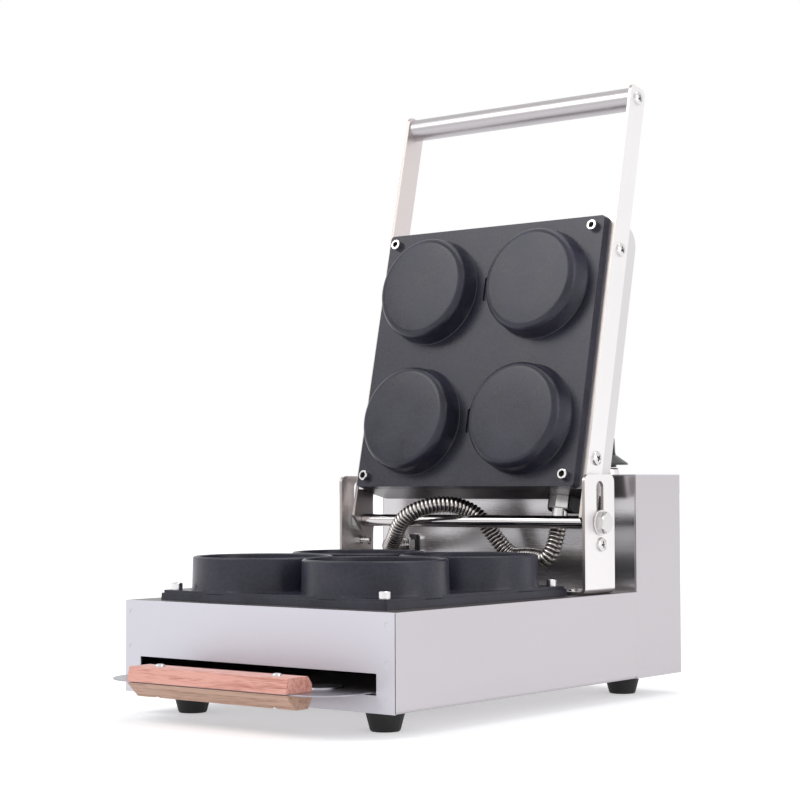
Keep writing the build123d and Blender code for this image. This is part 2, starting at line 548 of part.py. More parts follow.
cord_gland -= rod_y(CORD_BORE_R, CORD_X, BOX_REAR - 10, BOX_REAR + 15, CORD_Z)
save("cord_gland", cord_gland)

# Where the conduit leaves the control box
FLANGE_HALF = 10.5
FLANGE_T = 3.0
flange_y = BASE_DEPTH - FLANGE_T
flange = block(BOX_GLAND_X - FLANGE_HALF, BOX_GLAND_X + FLANGE_HALF, flange_y, BASE_DEPTH,
               BOX_GLAND_Z - FLANGE_HALF, BOX_GLAND_Z + FLANGE_HALF)
flange = fillet(flange.edges().filter_by(Axis.Y), 2)
flange -= rod_y(GLAND_BORE_R, BOX_GLAND_X, flange_y - 1, BASE_DEPTH + 1, BOX_GLAND_Z)
save("conduit_box_flange", flange)
box_nut = hex_y(GLAND_AF, BOX_GLAND_X, BOX_GLAND_END + 3, flange_y, BOX_GLAND_Z)
box_nut += rod_y(COLLAR_R, BOX_GLAND_X, BOX_GLAND_END, BOX_GLAND_END + 3, BOX_GLAND_Z)
box_nut -= rod_y(GLAND_BORE_R, BOX_GLAND_X, BOX_GLAND_END - 1, BASE_DEPTH, BOX_GLAND_Z)
save("conduit_box_nut", box_nut)

# Hinge: axle through both brackets, sleeve between the arms, nylon spacers, washers
sleeve_half = ARM_IN - SPACER_GAP
sleeve = rod_x(SLEEVE_R, -sleeve_half, sleeve_half, PIVOT_Y, PIVOT_Z)
sleeve -= rod_x(AXLE_R, -sleeve_half - 1, sleeve_half + 1, PIVOT_Y, PIVOT_Z)
save("hinge_sleeve", sleeve)
washer_x0 = BRACKET_OUT + SIDE_GAP
washer_x1 = washer_x0 + WASHER_T
axle = rod_x(AXLE_R, -AXLE_END, washer_x1, PIVOT_Y, PIVOT_Z)
head = hex_x(AXLE_HEAD_AF, washer_x1, washer_x1 + AXLE_HEAD_H, PIVOT_Y, PIVOT_Z)
head_cone = Pos(washer_x1, PIVOT_Y, PIVOT_Z) * Rot(0, 90, 0) * turned(
    [(0, 0), (12, 0), (12, 3.6), (AXLE_HEAD_AF / 2, AXLE_HEAD_H), (0, AXLE_HEAD_H)])
axle += head & head_cone
save("hinge_axle", axle)
axle_nut = hex_x(AXLE_HEAD_AF, -washer_x1 - AXLE_NUT_H, -washer_x1, PIVOT_Y, PIVOT_Z)
axle_nut -= rod_x(AXLE_R, -washer_x1 - 6, -washer_x1 + 1, PIVOT_Y, PIVOT_Z)
save("hinge_axle_nut", axle_nut)
washer = rod_x(WASHER_R, washer_x0, washer_x1, PIVOT_Y, PIVOT_Z)
washer -= rod_x(AXLE_R, washer_x0 - 1, washer_x1 + 1, PIVOT_Y, PIVOT_Z)
save("hinge_washers", both(washer))
spacer = rod_x(SPACER_R, ARM_OUT + SPACER_GAP, BRACKET_IN - SPACER_GAP, PIVOT_Y, PIVOT_Z)
spacer -= rod_x(AXLE_R, ARM_OUT, BRACKET_IN, PIVOT_Y, PIVOT_Z)
save("hinge_spacers", both(spacer))

# Upper casting: flat plate with two cast recesses on the middle line
upper_mould = Pos(0, PLATE_MID_Y, LID_BACK_Z) * Rot(180, 0, 0) * extrude(
    RectangleRounded(2 * PLATE_HALF_W, PLATE_L, 4), LID_PLATE_T, taper=4)
RECESS_L = 24.0
RECESS_W = 4.5
RECESS_DEEP = 2.0
upper_mould -= [Pos(0, y, LID_FACE_Z - 1) * extrude(SlotOverall(RECESS_L, RECESS_W, rotation=90), RECESS_DEEP + 1)
                for y in (PLATE_MID_Y - CUP_DY, PLATE_MID_Y + CUP_DY)]
upper_mould -= [rod_z(M6_R + HOLE_CLEAR, x, y, LID_FACE_Z - 1, LID_BACK_Z + 1) for x, y in mould_screw_places]
upper_mould -= [rod_z(M5_R + HOLE_CLEAR, x, y, LID_FACE_Z - 1, LID_BACK_Z + 1) for x, y in CUP_CENTRES]
upper_mould -= [rod_z(M5_R, x, y, LID_BACK_Z - STUD_DEPTH, LID_BACK_Z + 1) for x, y in STUD_PLACES]
save("upper_mould_plate", upper_mould, opened=True)

# Moulding discs: drafted side, round front edge and a thin lip, each on a stud that goes through the plate
disc_z = LID_FACE_Z - DISC_H
disc = turned([(0, LID_FACE_Z), (DISC_R + 1, LID_FACE_Z), (DISC_R + 1, LID_FACE_Z - 0.5), (DISC_R, LID_FACE_Z - 0.5),
               (DISC_R - DISC_DRAFT, disc_z), (0, disc_z)])
disc = fillet(disc.edges().filter_by(GeomType.CIRCLE).sort_by(Axis.Z)[0], DISC_EDGE_R)
disc += rod_z(M5_R, 0, 0, LID_FACE_Z - 1, LID_BACK_Z + DISC_STUD)
save("moulding_discs", group(Pos(x, y, 0) * disc for x, y in CUP_CENTRES), opened=True)

LID_HEAD_R = 4.35
lid_head_z = LID_FACE_Z - 5.5
lid_nut_z = LID_BACK_Z + THIN
lid_screw = [(0, lid_head_z + 2.5), (2.2, lid_head_z + 2.5), (2.2, lid_head_z), (LID_HEAD_R - 0.5, lid_head_z),
             (LID_HEAD_R, lid_head_z + 0.5), (LID_HEAD_R, LID_FACE_Z), (M6_R, LID_FACE_Z),
             (M6_R, lid_nut_z + 7), (0, lid_nut_z + 7)]
save("upper_mould_screws", group(turned(lid_screw, x, y) for x, y in mould_screw_places), opened=True)
m6_nuts = [m6_nut_z(x, y, lid_nut_z) for x, y in mould_screw_places]

lid_clamp_z = LID_BACK_Z + 2 * HEATER_R
lid_board_z = lid_clamp_z + CLAMP_T
lid_board_top = lid_board_z + BOARD_T
save("upper_heater", heater(LID_BACK_Z + HEATER_R), opened=True)
save("upper_heater_clamp", held_plate(lid_clamp_z, CLAMP_T), opened=True)
save("upper_insulation", held_plate(lid_board_z, BOARD_T, BOARD_EDGE), opened=True)
save("upper_heater_studs", group(
    rod_z(M5_R, x, y, LID_BACK_Z - STUD_DEPTH, lid_board_top + 6) for x, y in STUD_PLACES), opened=True)
lid_m5_nuts = [m5_nut(x, y, lid_board_top) for x, y in STUD_PLACES]
lid_m5_nuts += [m5_nut(x, y, LID_BACK_Z) for x, y in CUP_CENTRES]
save("lid_m5_nuts", group(lid_m5_nuts), opened=True)

# Lid cover: pressed pan with a round nose, rolled inward at its mouth onto the casting
PAN_EDGE_R = 3.0
nose_y = PLATE_Y0 + COVER_NOSE_R
nose_z = COVER_TOP_Z - COVER_NOSE_R
cover_edges = [Line((PLATE_Y0, LID_BACK_Z), (PLATE_Y0, nose_z)),
               CenterArc((nose_y, nose_z), COVER_NOSE_R, 90, 90),
               Line((nose_y, COVER_TOP_Z), (PLATE_Y1, COVER_TOP_Z)),
               Line((PLATE_Y1, COVER_TOP_Z), (PLATE_Y1, LID_BACK_Z)),
               Line((PLATE_Y1, LID_BACK_Z), (PLATE_Y0, LID_BACK_Z))]
pan = Pos(-COVER_HALF_W, 0, 0) * extrude(Plane.YZ * make_face(cover_edges), 2 * COVER_HALF_W)
side_edges = [e for e in pan.edges()
              if abs(abs(e.center().X) - COVER_HALF_W) < 0.01 and e.center().Z > LID_BACK_Z + 25]
pan = fillet(side_edges, PAN_EDGE_R)
mouth = pan.faces().sort_by(Axis.Z)[0]
cover = offset(pan, amount=-THIN, openings=[mouth])
flange_ring = block(-COVER_HALF_W, COVER_HALF_W, PLATE_Y0, PLATE_Y1, LID_BACK_Z, LID_BACK_Z + THIN)
flange_ring -= block(-COVER_HALF_W + COVER_FLANGE, COVER_HALF_W - COVER_FLANGE, PLATE_Y0 + COVER_FLANGE,
                     PLATE_Y1 - COVER_FLANGE, LID_BACK_Z - 1, LID_BACK_Z + 5)
cover += flange_ring
cover -= [rod_z(M6_R + HOLE_CLEAR, x, y, LID_BACK_Z - 1, LID_BACK_Z + 3) for x, y in mould_screw_places]
cover -= [Pos(sx * COVER_HALF_W, y, ARM_MID_Z) * Rot(0, 90, 0) * Cylinder(M6_R + 0.2, 4 * THIN)
          for sx in (-1, 1) for y in ARM_SCREW_YS]
cover -= rod_y(GLAND_BORE_R, LID_GLAND_X, PLATE_Y1 - 5, PLATE_Y1 + 1, LID_GLAND_Z)
save("lid_cover", cover, opened=True)

# Arm: flat bar whose rear end is cut on a slant, so that it swings past the stop bolt and lands on it
ARM_END = [(-1.06, ARM_Z0 - PIVOT_Z), (21.9, 14.0), (18.0, 15.0), (2.0, 15.0), (-14.0, ARM_Z1 - PIVOT_Z)]
arm_points = [(ARM_TIP_Y, ARM_Z0)] + [(PIVOT_Y + y, PIVOT_Z + z) for y, z in ARM_END] + [(ARM_TIP_Y, ARM_Z1)]
arm = side_sheet(arm_points, ARM_IN, ARM_OUT)
arm = fillet(arm.edges().filter_by(Axis.X).group_by(Axis.Y)[0], 6)
arm -= rod_x(AXLE_R + AXLE_CLEAR, ARM_IN - 1, ARM_OUT + 1, PIVOT_Y, PIVOT_Z)
arm_screw_ys = (HANDLE_Y,) + ARM_SCREW_YS
arm -= [rod_x(M6_R + 0.2, ARM_IN - 1, ARM_OUT + 1, y, ARM_MID_Z) for y in arm_screw_ys]
save("handle_arm_right", arm, opened=True)
save("handle_arm_left", mirror(arm, Plane.YZ), opened=True)

tube = rod_x(HANDLE_R, -ARM_IN, ARM_IN, HANDLE_Y, ARM_MID_Z)
tube -= rod_x(HANDLE_R - HANDLE_WALL, -ARM_IN - 1, ARM_IN + 1, HANDLE_Y, ARM_MID_Z)
save("handle_tube", tube, opened=True)
PLUG_L = 16.0
plug = rod_x(HANDLE_R - HANDLE_WALL, ARM_IN - PLUG_L, ARM_IN, HANDLE_Y, ARM_MID_Z)
plug -= rod_x(M6_R, ARM_IN - PLUG_L - 1, ARM_IN + 1, HANDLE_Y, ARM_MID_Z)
save("handle_plugs", both(plug), opened=True)

arm_screw = Rot(0, 90, 0) * pan_screw(M6_R, ARM_SCREW_L, PAN_R, PAN_H)
right_arm_screws = [Pos(ARM_OUT, y, ARM_MID_Z) * arm_screw for y in arm_screw_ys]
save("arm_screws", both(group(right_arm_screws)), opened=True)
right_arm_nuts = group(m6_nut_x(ARM_IN - THIN - 5, y, ARM_MID_Z) for y in ARM_SCREW_YS)
save("lid_m6_nuts", group(m6_nuts + [both(right_arm_nuts)]), opened=True)

# Where the conduit enters the lid: nut with its collar, and a guard open to the front
lid_nut = hex_y(GLAND_AF, LID_GLAND_X, PLATE_Y1, LID_NUT_END, LID_GLAND_Z, LID_NUT_TURN)
lid_nut += rod_y(COLLAR_R, LID_GLAND_X, LID_NUT_END, LID_GLAND_END, LID_GLAND_Z)
lid_nut -= rod_y(GLAND_BORE_R, LID_GLAND_X, PLATE_Y1 - 1, LID_GLAND_END + 1, LID_GLAND_Z)
save("lid_conduit_nut", lid_nut, opened=True)
GUARD_HALF = 13.0
GUARD_INNER = 10.6
GUARD_H = 14.0
GUARD_FRONT = LID_GLAND_Z - 3.0
GUARD_BACK = LID_GLAND_Z + 12.4
guard = block(LID_GLAND_X - GUARD_HALF, LID_GLAND_X + GUARD_HALF, PLATE_Y1, PLATE_Y1 + GUARD_H,
              GUARD_FRONT, GUARD_BACK)
guard -= block(LID_GLAND_X - GUARD_INNER, LID_GLAND_X + GUARD_INNER, PLATE_Y1 - 1, PLATE_Y1 + GUARD_H + 1,
               GUARD_FRONT - 1, GUARD_BACK - 1.3)
low_corners = [e for e in guard.edges().filter_by(Axis.X)
               if e.center().Y > PLATE_Y1 + GUARD_H - 0.1 and e.center().Z < LID_GLAND_Z]
guard = fillet(low_corners, 4)
save("lid_conduit_guard", guard, opened=True)

# Conduit: straight runs and arcs from the box gland over the hinge sleeve to the lid gland
ROUTE = [
    (BOX_GLAND_X, BOX_GLAND_END, BOX_GLAND_Z), (BOX_GLAND_X, BOX_GLAND_END - 30, BOX_GLAND_Z),
    (BOX_GLAND_X + 24.8, PIVOT_Y - 12, PIVOT_Z - 22), (BOX_GLAND_X + 51.3, PIVOT_Y - 28, PIVOT_Z + 9.5),
    (BOX_GLAND_X + 87.3, PIVOT_Y - 14, PIVOT_Z + 23), (LID_GLAND_X - 94.5, PIVOT_Y + 13, PIVOT_Z + 12.5),
    (LID_GLAND_X - 76.5, PIVOT_Y + 22.5, PIVOT_Z - 17), (LID_GLAND_X - 60.5, PIVOT_Y + 27.5, PIVOT_Z - 33.5),
    (LID_GLAND_X - 39, PIVOT_Y + 20, PIVOT_Z - 29)]
gland_mouth = OPEN * Pos(LID_GLAND_X, LID_GLAND_END, LID_GLAND_Z)
gland_below = OPEN * Pos(LID_GLAND_X, LID_GLAND_END + 42, LID_GLAND_Z)
ROUTE += [tuple(gland_below.position), tuple(gland_mouth.position)]


def bend_radii(points):
    radii = []
    for a, b, c in zip(points, points[1:], points[2:]):
        run_in = Vector(*b) - Vector(*a)
        run_out = Vector(*c) - Vector(*b)
        turn = math.radians(run_in.get_angle(run_out))
        radii.append(0.45 * min(run_in.length, run_out.length) / math.tan(turn / 2))
    return radii


radii = bend_radii(ROUTE)
route = Wire(FilletPolyline(*ROUTE, radius=radii).edges())
print("conduit bends, mm:", [round(r, 1) for r in radii])
print("conduit length, mm:", round(route.length, 1))


def stations(wire, count):
    # Points along the wire with a crosswise direction that never spins
    across = Vector(1, 0, 0)
    for i in range(count + 1):
        point = wire @ (i / count)
        along = (wire % (i / count)).normalized()
        across = (across - along * across.dot(along)).normalized()
        yield point, along, across


def ring(station, radius):
    point, along, across = station
    return Wire((Plane(point, x_dir=across, z_dir=along) * Circle(radius)).edges())


steps = list(stations(route, RIB_COUNT * 4))
rib_radii = (CONDUIT_VALLEY_R, CONDUIT_R, CONDUIT_R, CONDUIT_VALLEY_R)
outer_rings = [ring(s, rib_radii[i % 4]) for i, s in enumerate(steps[:-1])]
outer_rings.append(ring(steps[-1], CONDUIT_VALLEY_R))
bore_rings = [ring(s, CONDUIT_BORE_R) for s in steps[::8]]
if len(steps) % 8 != 1:
    bore_rings.append(ring(steps[-1], CONDUIT_BORE_R))
conduit = Solid.make_loft(outer_rings, ruled=True) - Solid.make_loft(bore_rings, ruled=True)
mean_area = math.pi * (((CONDUIT_R + CONDUIT_VALLEY_R) / 2) ** 2 - CONDUIT_BORE_R ** 2)
print("conduit volume over section times length:", round(conduit.volume / (mean_area * route.length), 3))
save("flexible_conduit", conduit)
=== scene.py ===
# %% [markdown]
# # A pancake maker, from solid parts to a studio picture
# The machine is a countertop griddle with four round cups, a lid with four discs and a pull-out tray.
# Its shapes and sizes come from a CAD model, so the first step only loads that model.
# Each later step picks one piece or one finish, says what it is on the real machine, and makes it.

import json
import math

import bmesh
import bpy
from mathutils import Matrix, Vector


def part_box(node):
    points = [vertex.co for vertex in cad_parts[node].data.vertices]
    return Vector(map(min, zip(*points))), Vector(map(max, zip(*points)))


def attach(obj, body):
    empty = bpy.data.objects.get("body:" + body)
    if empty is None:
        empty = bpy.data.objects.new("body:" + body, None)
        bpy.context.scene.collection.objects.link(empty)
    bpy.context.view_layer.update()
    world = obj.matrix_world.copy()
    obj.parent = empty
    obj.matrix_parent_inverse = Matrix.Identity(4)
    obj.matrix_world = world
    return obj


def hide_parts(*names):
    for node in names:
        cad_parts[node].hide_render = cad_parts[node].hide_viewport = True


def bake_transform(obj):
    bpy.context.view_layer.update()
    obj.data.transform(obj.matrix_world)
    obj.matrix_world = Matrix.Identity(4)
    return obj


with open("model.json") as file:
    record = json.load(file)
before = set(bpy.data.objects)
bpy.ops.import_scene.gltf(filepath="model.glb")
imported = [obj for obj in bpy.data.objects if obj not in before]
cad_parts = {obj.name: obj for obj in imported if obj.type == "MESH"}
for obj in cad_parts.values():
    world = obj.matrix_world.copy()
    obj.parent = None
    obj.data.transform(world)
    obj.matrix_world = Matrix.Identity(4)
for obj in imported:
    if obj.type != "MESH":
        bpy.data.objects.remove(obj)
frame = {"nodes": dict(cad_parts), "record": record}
nodes = frame["nodes"]
bodies = frame["record"]["behaviour"]["bodies"]
body_of_part = {name: body for body, members in bodies.items() for name in members}
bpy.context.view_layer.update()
print("parts loaded:", len(nodes), "on bodies:", ", ".join(bodies))


# %% [markdown]
# ## Where things are
# The maker measures in millimetres from the front panel, and the saved parts stand with their middle on
# the origin. Two helpers turn the maker's numbers into scene metres: one for the standing machine, and
# one for pieces of the lid, which are measured with the lid shut and then swung open about the hinge.

# %% Places on the machine and on the open lid
MM = 0.001
PANEL_Y = -196.25
PIVOT_Y = 304.5
PIVOT_Z = 162.5
OPEN_ANGLE = math.radians(102.7)


def place(x, y, z):
    return Vector((x, y + PANEL_Y, z)) * MM


hinge = Matrix.Translation(place(0, PIVOT_Y, PIVOT_Z))
LID_TURN = Matrix.Rotation(-OPEN_ANGLE, 3, "X")
LID_OPEN = hinge @ LID_TURN.to_4x4() @ hinge.inverted()


def place_on_lid(x, y, z):
    return LID_OPEN @ place(x, y, z)


LID_GLAND = (88.5, 297, 177.5)
lid_gland = place_on_lid(*LID_GLAND)
print("the conduit enters the lid at", [round(v, 4) for v in lid_gland])


# %% [markdown]
# ## Camera
# The picture is taken from the front right, at about the height of the cups, with a long lens that keeps
# the upright edges almost parallel. The numbers were worked out from the edges of the machine.

# %% Camera
CAMERA_AT = Vector((1.09589, -1.37472, 0.19758))
YAW = 0.6732
PITCH = 0.0434
ROLL = -0.0033
LENS = 87.40


def in_scene(name, data):
    thing = bpy.data.objects.new(name, data)
    bpy.context.scene.collection.objects.link(thing)
    return thing


forward = Vector((-math.sin(YAW) * math.cos(PITCH), math.cos(YAW) * math.cos(PITCH), math.sin(PITCH)))
level_right = forward.cross(Vector((0, 0, 1))).normalized()
level_up = level_right.cross(forward)
right = level_right * math.cos(ROLL) + level_up * math.sin(ROLL)
up = level_up * math.cos(ROLL) - level_right * math.sin(ROLL)
camera = in_scene("camera", bpy.data.cameras.new("camera"))
camera.data.lens = LENS
camera.data.sensor_width = 36
camera.data.clip_end = 100
camera.matrix_world = Matrix.Translation(CAMERA_AT) @ Matrix((right, up, -forward)).transposed().to_4x4()
bpy.context.scene.camera = camera
bpy.context.scene.view_settings.view_transform = "Standard"
print("camera looks up by", round(math.degrees(PITCH), 2), "degrees")


# %% [markdown]
# ## Room and light
# A product picture of steel needs something bright to mirror. The room is a white background with a
# pale floor, and three soft lamps stand around the machine. The background is pure white and the floor
# is lifted only for rays that see them directly, through the light path. So the lamps can stay at a plain
# level, and the floor still shows a soft shadow.

# %% Which rays see the white background
def math_node(tree, operation, *values):
    node = tree.nodes.new("ShaderNodeMath")
    node.operation = operation
    for socket, value in zip(node.inputs, values):
        if isinstance(value, (int, float)):
            socket.default_value = value
        else:
            tree.links.new(value, socket)
    return node.outputs[0]


def seen_directly(tree):
    rays = tree.nodes.new("ShaderNodeLightPath").outputs
    either = math_node(tree, "MAXIMUM", rays["Is Camera Ray"], rays["Is Glossy Ray"])
    return math_node(tree, "MAXIMUM", either, rays["Is Transmission Ray"])


# %% Background
def set_inputs(node, values):
    for label, value in values.items():
        node.inputs[label].default_value = value


world = bpy.data.worlds.new("room")
bpy.context.scene.world = world
world.use_nodes = True
room = world.node_tree
room_light = room.nodes["Background"]
set_inputs(room_light, {"Color": (0.97, 0.98, 1.0, 1), "Strength": 0.62})
white_view = room.nodes.new("ShaderNodeBackground")
set_inputs(white_view, {"Color": (1, 1, 1, 1), "Strength": 1.0})
choose_view = room.nodes.new("ShaderNodeMixShader")
room.links.new(seen_directly(room), choose_view.inputs["Fac"])
room.links.new(room_light.outputs[0], choose_view.inputs[1])
room.links.new(white_view.outputs[0], choose_view.inputs[2])
room.links.new(choose_view.outputs[0], room.nodes["World Output"].inputs["Surface"])
print("room light level:", round(room_light.inputs["Strength"].default_value, 2))


# %% Floor, pale and a little brighter far away, with the shadow left in it
FLOOR_HALF = 30.0
floor_mesh = bpy.data.meshes.new("floor")
corners = [(x * FLOOR_HALF, y * FLOOR_HALF, 0) for x, y in ((-1, -1), (1, -1), (1, 1), (-1, 1))]
floor_mesh.from_pydata(corners, [], [(0, 1, 2, 3)])
floor = in_scene("floor", floor_mesh)
floor_paint = bpy.data.materials.new("floor_paint")
floor_paint.use_nodes = True
paint = floor_paint.node_tree
matt = paint.nodes["Principled BSDF"]
set_inputs(matt, {"Base Color": (0.82, 0.82, 0.83, 1), "Roughness": 0.9, "Specular IOR Level": 0.0})
where = paint.nodes.new("ShaderNodeTexCoord")
away = paint.nodes.new("ShaderNodeVectorMath")
away.operation = "LENGTH"
paint.links.new(where.outputs["Object"], away.inputs[0])
fade = paint.nodes.new("ShaderNodeMapRange")
fade.interpolation_type = "SMOOTHSTEP"
set_inputs(fade, {"From Min": 0.5, "From Max": 4.0, "To Min": 0.42, "To Max": 0.70})
paint.links.new(away.outputs["Value"], fade.inputs["Value"])
lift = paint.nodes.new("ShaderNodeEmission")
paint.links.new(fade.outputs["Result"], lift.inputs["Strength"])
no_lift = paint.nodes.new("ShaderNodeEmission")
set_inputs(no_lift, {"Strength": 0.0})
lift_seen = paint.nodes.new("ShaderNodeMixShader")
paint.links.new(seen_directly(paint), lift_seen.inputs["Fac"])
paint.links.new(no_lift.outputs[0], lift_seen.inputs[1])
paint.links.new(lift.outputs[0], lift_seen.inputs[2])
floor_sum = paint.nodes.new("ShaderNodeAddShader")
paint.links.new(matt.outputs[0], floor_sum.inputs[0])
paint.links.new(lift_seen.outputs[0], floor_sum.inputs[1])
paint.links.new(floor_sum.outputs[0], paint.nodes["Material Output"].inputs["Surface"])
floor_mesh.materials.append(floor_paint)
print("floor, m across:", 2 * FLOOR_HALF)


# %% Lamps
def soft_lamp(name, at, aim, size, power):
    light = bpy.data.lights.new(name, "AREA")
    light.shape = "RECTANGLE"
    light.size, light.size_y = size
    light.energy = power
    lamp = in_scene(name, light)
    lamp.location = at
    lamp.rotation_euler = (Vector(aim) - Vector(at)).to_track_quat("-Z", "Y").to_euler()


MIDDLE = (0, 0, 0.25)
soft_lamp("key_lamp", (-1.3, -2.0, 2.2), MIDDLE, (1.6, 1.6), 34)
soft_lamp("side_lamp", (2.6, 0.3, 1.2), MIDDLE, (1.2, 2.0), 14)
soft_lamp("top_lamp", (0.2, 0.6, 2.8), MIDDLE, (2.2, 1.4), 15)
print("lamps:", ", ".join(light.name for light in bpy.data.lights))


# %% [markdown]
# ## Finishes
# Metal looks like metal because of what it mirrors and how sharply. A finish is therefore a Principled
# shader with a colour, a roughness and a fine grain that bends the reflections a little. Most finishes
# need no more than that, and one helper makes them.
# Every pattern reads Object coordinates, so it stays on the piece when the lid moves.

# %% Shader helpers
NOISE_LOW = 0.3
NOISE_HIGH = 0.7
EVEN = (1, 1, 1)


def inputs_of(material):
    return material.node_tree.nodes["Principled BSDF"].inputs


def new_finish(name, colour, metallic=0.0, roughness=0.5, coat=0.0):
    material = bpy.data.materials.new(name)
    material.use_nodes = True
    set_inputs(material.node_tree.nodes["Principled BSDF"], {
        "Base Color": (*colour, 1), "Metallic": metallic, "Roughness": roughness, "Coat Weight": coat})
    return material


def noise_in(material, stretch, scale, detail=4.0, distortion=0.0):
    tree = material.node_tree
    where = tree.nodes.new("ShaderNodeTexCoord")
    mapping = tree.nodes.new("ShaderNodeMapping")
    set_inputs(mapping, {"Scale": stretch})
    noise = tree.nodes.new("ShaderNodeTexNoise")
    set_inputs(noise, {"Scale": scale, "Detail": detail, "Distortion": distortion})
    tree.links.new(where.outputs["Object"], mapping.inputs["Vector"])
    tree.links.new(mapping.outputs["Vector"], noise.inputs["Vector"])
    return noise.outputs["Fac"]


def add_bump(material, height, strength, distance):
    tree = material.node_tree
    bump = tree.nodes.new("ShaderNodeBump")
    set_inputs(bump, {"Strength": strength, "Distance": distance})
    tree.links.new(height, bump.inputs["Height"])
    tree.links.new(bump.outputs["Normal"], inputs_of(material)["Normal"])


def grained(name, colour, roughness, stretch, scale, strength, distance, metallic=0.0, coat=0.0,
            detail=4.0):
    material = new_finish(name, colour, metallic, roughness, coat)
    add_bump(material, noise_in(material, stretch, scale, detail), strength, distance)
    return material


# %% Helpers that let a noise, a place or a side choose the roughness or the colour
def ranged(material, value, low, high):
    tree = material.node_tree
    span = tree.nodes.new("ShaderNodeMapRange")
    set_inputs(span, {"From Min": NOISE_LOW, "From Max": NOISE_HIGH, "To Min": low, "To Max": high})
    tree.links.new(value, span.inputs["Value"])
    return span.outputs["Result"]


def two_tone(material, value, dark, light, low=0.35, high=0.65):
    tree = material.node_tree
    ramp = tree.nodes.new("ShaderNodeValToRGB")
    ramp.color_ramp.elements[0].position = low
    ramp.color_ramp.elements[1].position = high
    ramp.color_ramp.elements[0].color = (*dark, 1)
    ramp.color_ramp.elements[1].color = (*light, 1)
    tree.links.new(value, ramp.inputs["Fac"])
    tree.links.new(ramp.outputs["Color"], inputs_of(material)["Base Color"])


def two_tone_by(material, attribute_name, dark, light, low, high):
    attribute = material.node_tree.nodes.new("ShaderNodeAttribute")
    attribute.attribute_name = attribute_name
    two_tone(material, attribute.outputs["Fac"], dark, light, low, high)


def axes_of(material, output):
    tree = material.node_tree
    where = tree.nodes.new("ShaderNodeTexCoord")
    split = tree.nodes.new("ShaderNodeSeparateXYZ")
    tree.links.new(where.outputs[output], split.inputs[0])
    return split.outputs


def mix_colours(material, share, first, second):
    tree = material.node_tree
    colours = tree.nodes.new("ShaderNodeMix")
    colours.data_type = "RGBA"
    start, end = [s for s in colours.inputs if s.type == "RGBA"]
    start.default_value = first
    end.default_value = second
    tree.links.new(share, colours.inputs["Factor"])
    mixed = next(s for s in colours.outputs if s.type == "RGBA")
    tree.links.new(mixed, inputs_of(material)["Base Color"])


# %% [markdown]
# ## Satin sheet steel
# The body is rolled stainless sheet. Rolling leaves very fine lines in one direction, so the grain is a
# noise squeezed across that direction. The lines run across the machine on its front and top, and from
# front to back on its sides. A second, wide noise gives the faint clouds that wiping leaves.
# Cut edges are darker than rolled faces, and the lid's hinge end gets a painted shade on its downward
# faces: both are chosen by the way a face looks. The valleys of the conduit and the recesses of the screws
# get a painted shade, so their meshes carry a number that says how deep a point lies, and the colour
# follows it.

# %% How satin steel is built
LINES_IN_ROUGHNESS = 0.08
CLOUD_SCALE = 9.0
LINE_DEPTH = 0.00002


def satin_steel(name, stretch, colour, low, high, lines_deep=0.05):
    material = new_finish(name, colour, metallic=1.0)
    lines = noise_in(material, stretch, 1.0, detail=3.0)
    clouds = ranged(material, noise_in(material, EVEN, CLOUD_SCALE), low, high)
    roughness = math_node(material.node_tree, "MULTIPLY_ADD", lines, LINES_IN_ROUGHNESS, clouds)
    material.node_tree.links.new(roughness, inputs_of(material)["Roughness"])
    add_bump(material, lines, lines_deep, LINE_DEPTH)
    return material


# %% Painted shade under the lid cover, and darker cut edges
FACING_SHARE = 0.5


def heat_tint(material, shade_colour, shaded_to, unshaded_from):
    tree = material.node_tree
    own_colour = tuple(inputs_of(material)["Base Color"].default_value)
    shade_fade = tree.nodes.new("ShaderNodeMapRange")
    shade_fade.interpolation_type = "SMOOTHSTEP"
    set_inputs(shade_fade, {"From Min": shaded_to, "From Max": unshaded_from})
    tree.links.new(axes_of(material, "Object")["Z"], shade_fade.inputs["Value"])
    not_below = math_node(tree, "GREATER_THAN", axes_of(material, "Normal")["Z"], -FACING_SHARE)
    clean = math_node(tree, "MAXIMUM", shade_fade.outputs["Result"], not_below)
    mix_colours(material, clean, (*shade_colour, 1), own_colour)


def cut_edges(material, axis, comparison, edge_colour):
    tree = material.node_tree
    own_colour = tuple(inputs_of(material)["Base Color"].default_value)
    along_axis = math_node(tree, "ABSOLUTE", axes_of(material, "Normal")[axis])
    on_edge = math_node(tree, comparison, along_axis, FACING_SHARE)
    mix_colours(material, on_edge, own_colour, (*edge_colour, 1))


# %% The sheet and bar finishes
# Painted light and shade: the same sheet gets a lighter, bluer tone on the front and top and a darker,
# warmer tone on the sides.
LIT_FRONT_COLOUR = (0.60, 0.59, 0.64)
SHADED_SIDE_COLOUR = (0.545, 0.518, 0.54)
ARM_COLOUR = (0.87, 0.85, 0.855)
CUT_EDGE = (0.40, 0.36, 0.345)
ACROSS = (20, 3200, 3200)
LENGTHWISE = (3200, 20, 3200)
UPRIGHT = (3200, 3200, 20)
steel_across = satin_steel("steel_rolled_across", ACROSS, LIT_FRONT_COLOUR, 0.46, 0.54)
steel_lengthwise = satin_steel("steel_rolled_lengthwise", LENGTHWISE, SHADED_SIDE_COLOUR, 0.26, 0.34)
arm_steel = satin_steel("arm_bar_steel", UPRIGHT, ARM_COLOUR, 0.28, 0.36)
bracket_steel = satin_steel("bracket_steel", UPRIGHT, (0.84, 0.81, 0.81), 0.28, 0.36)
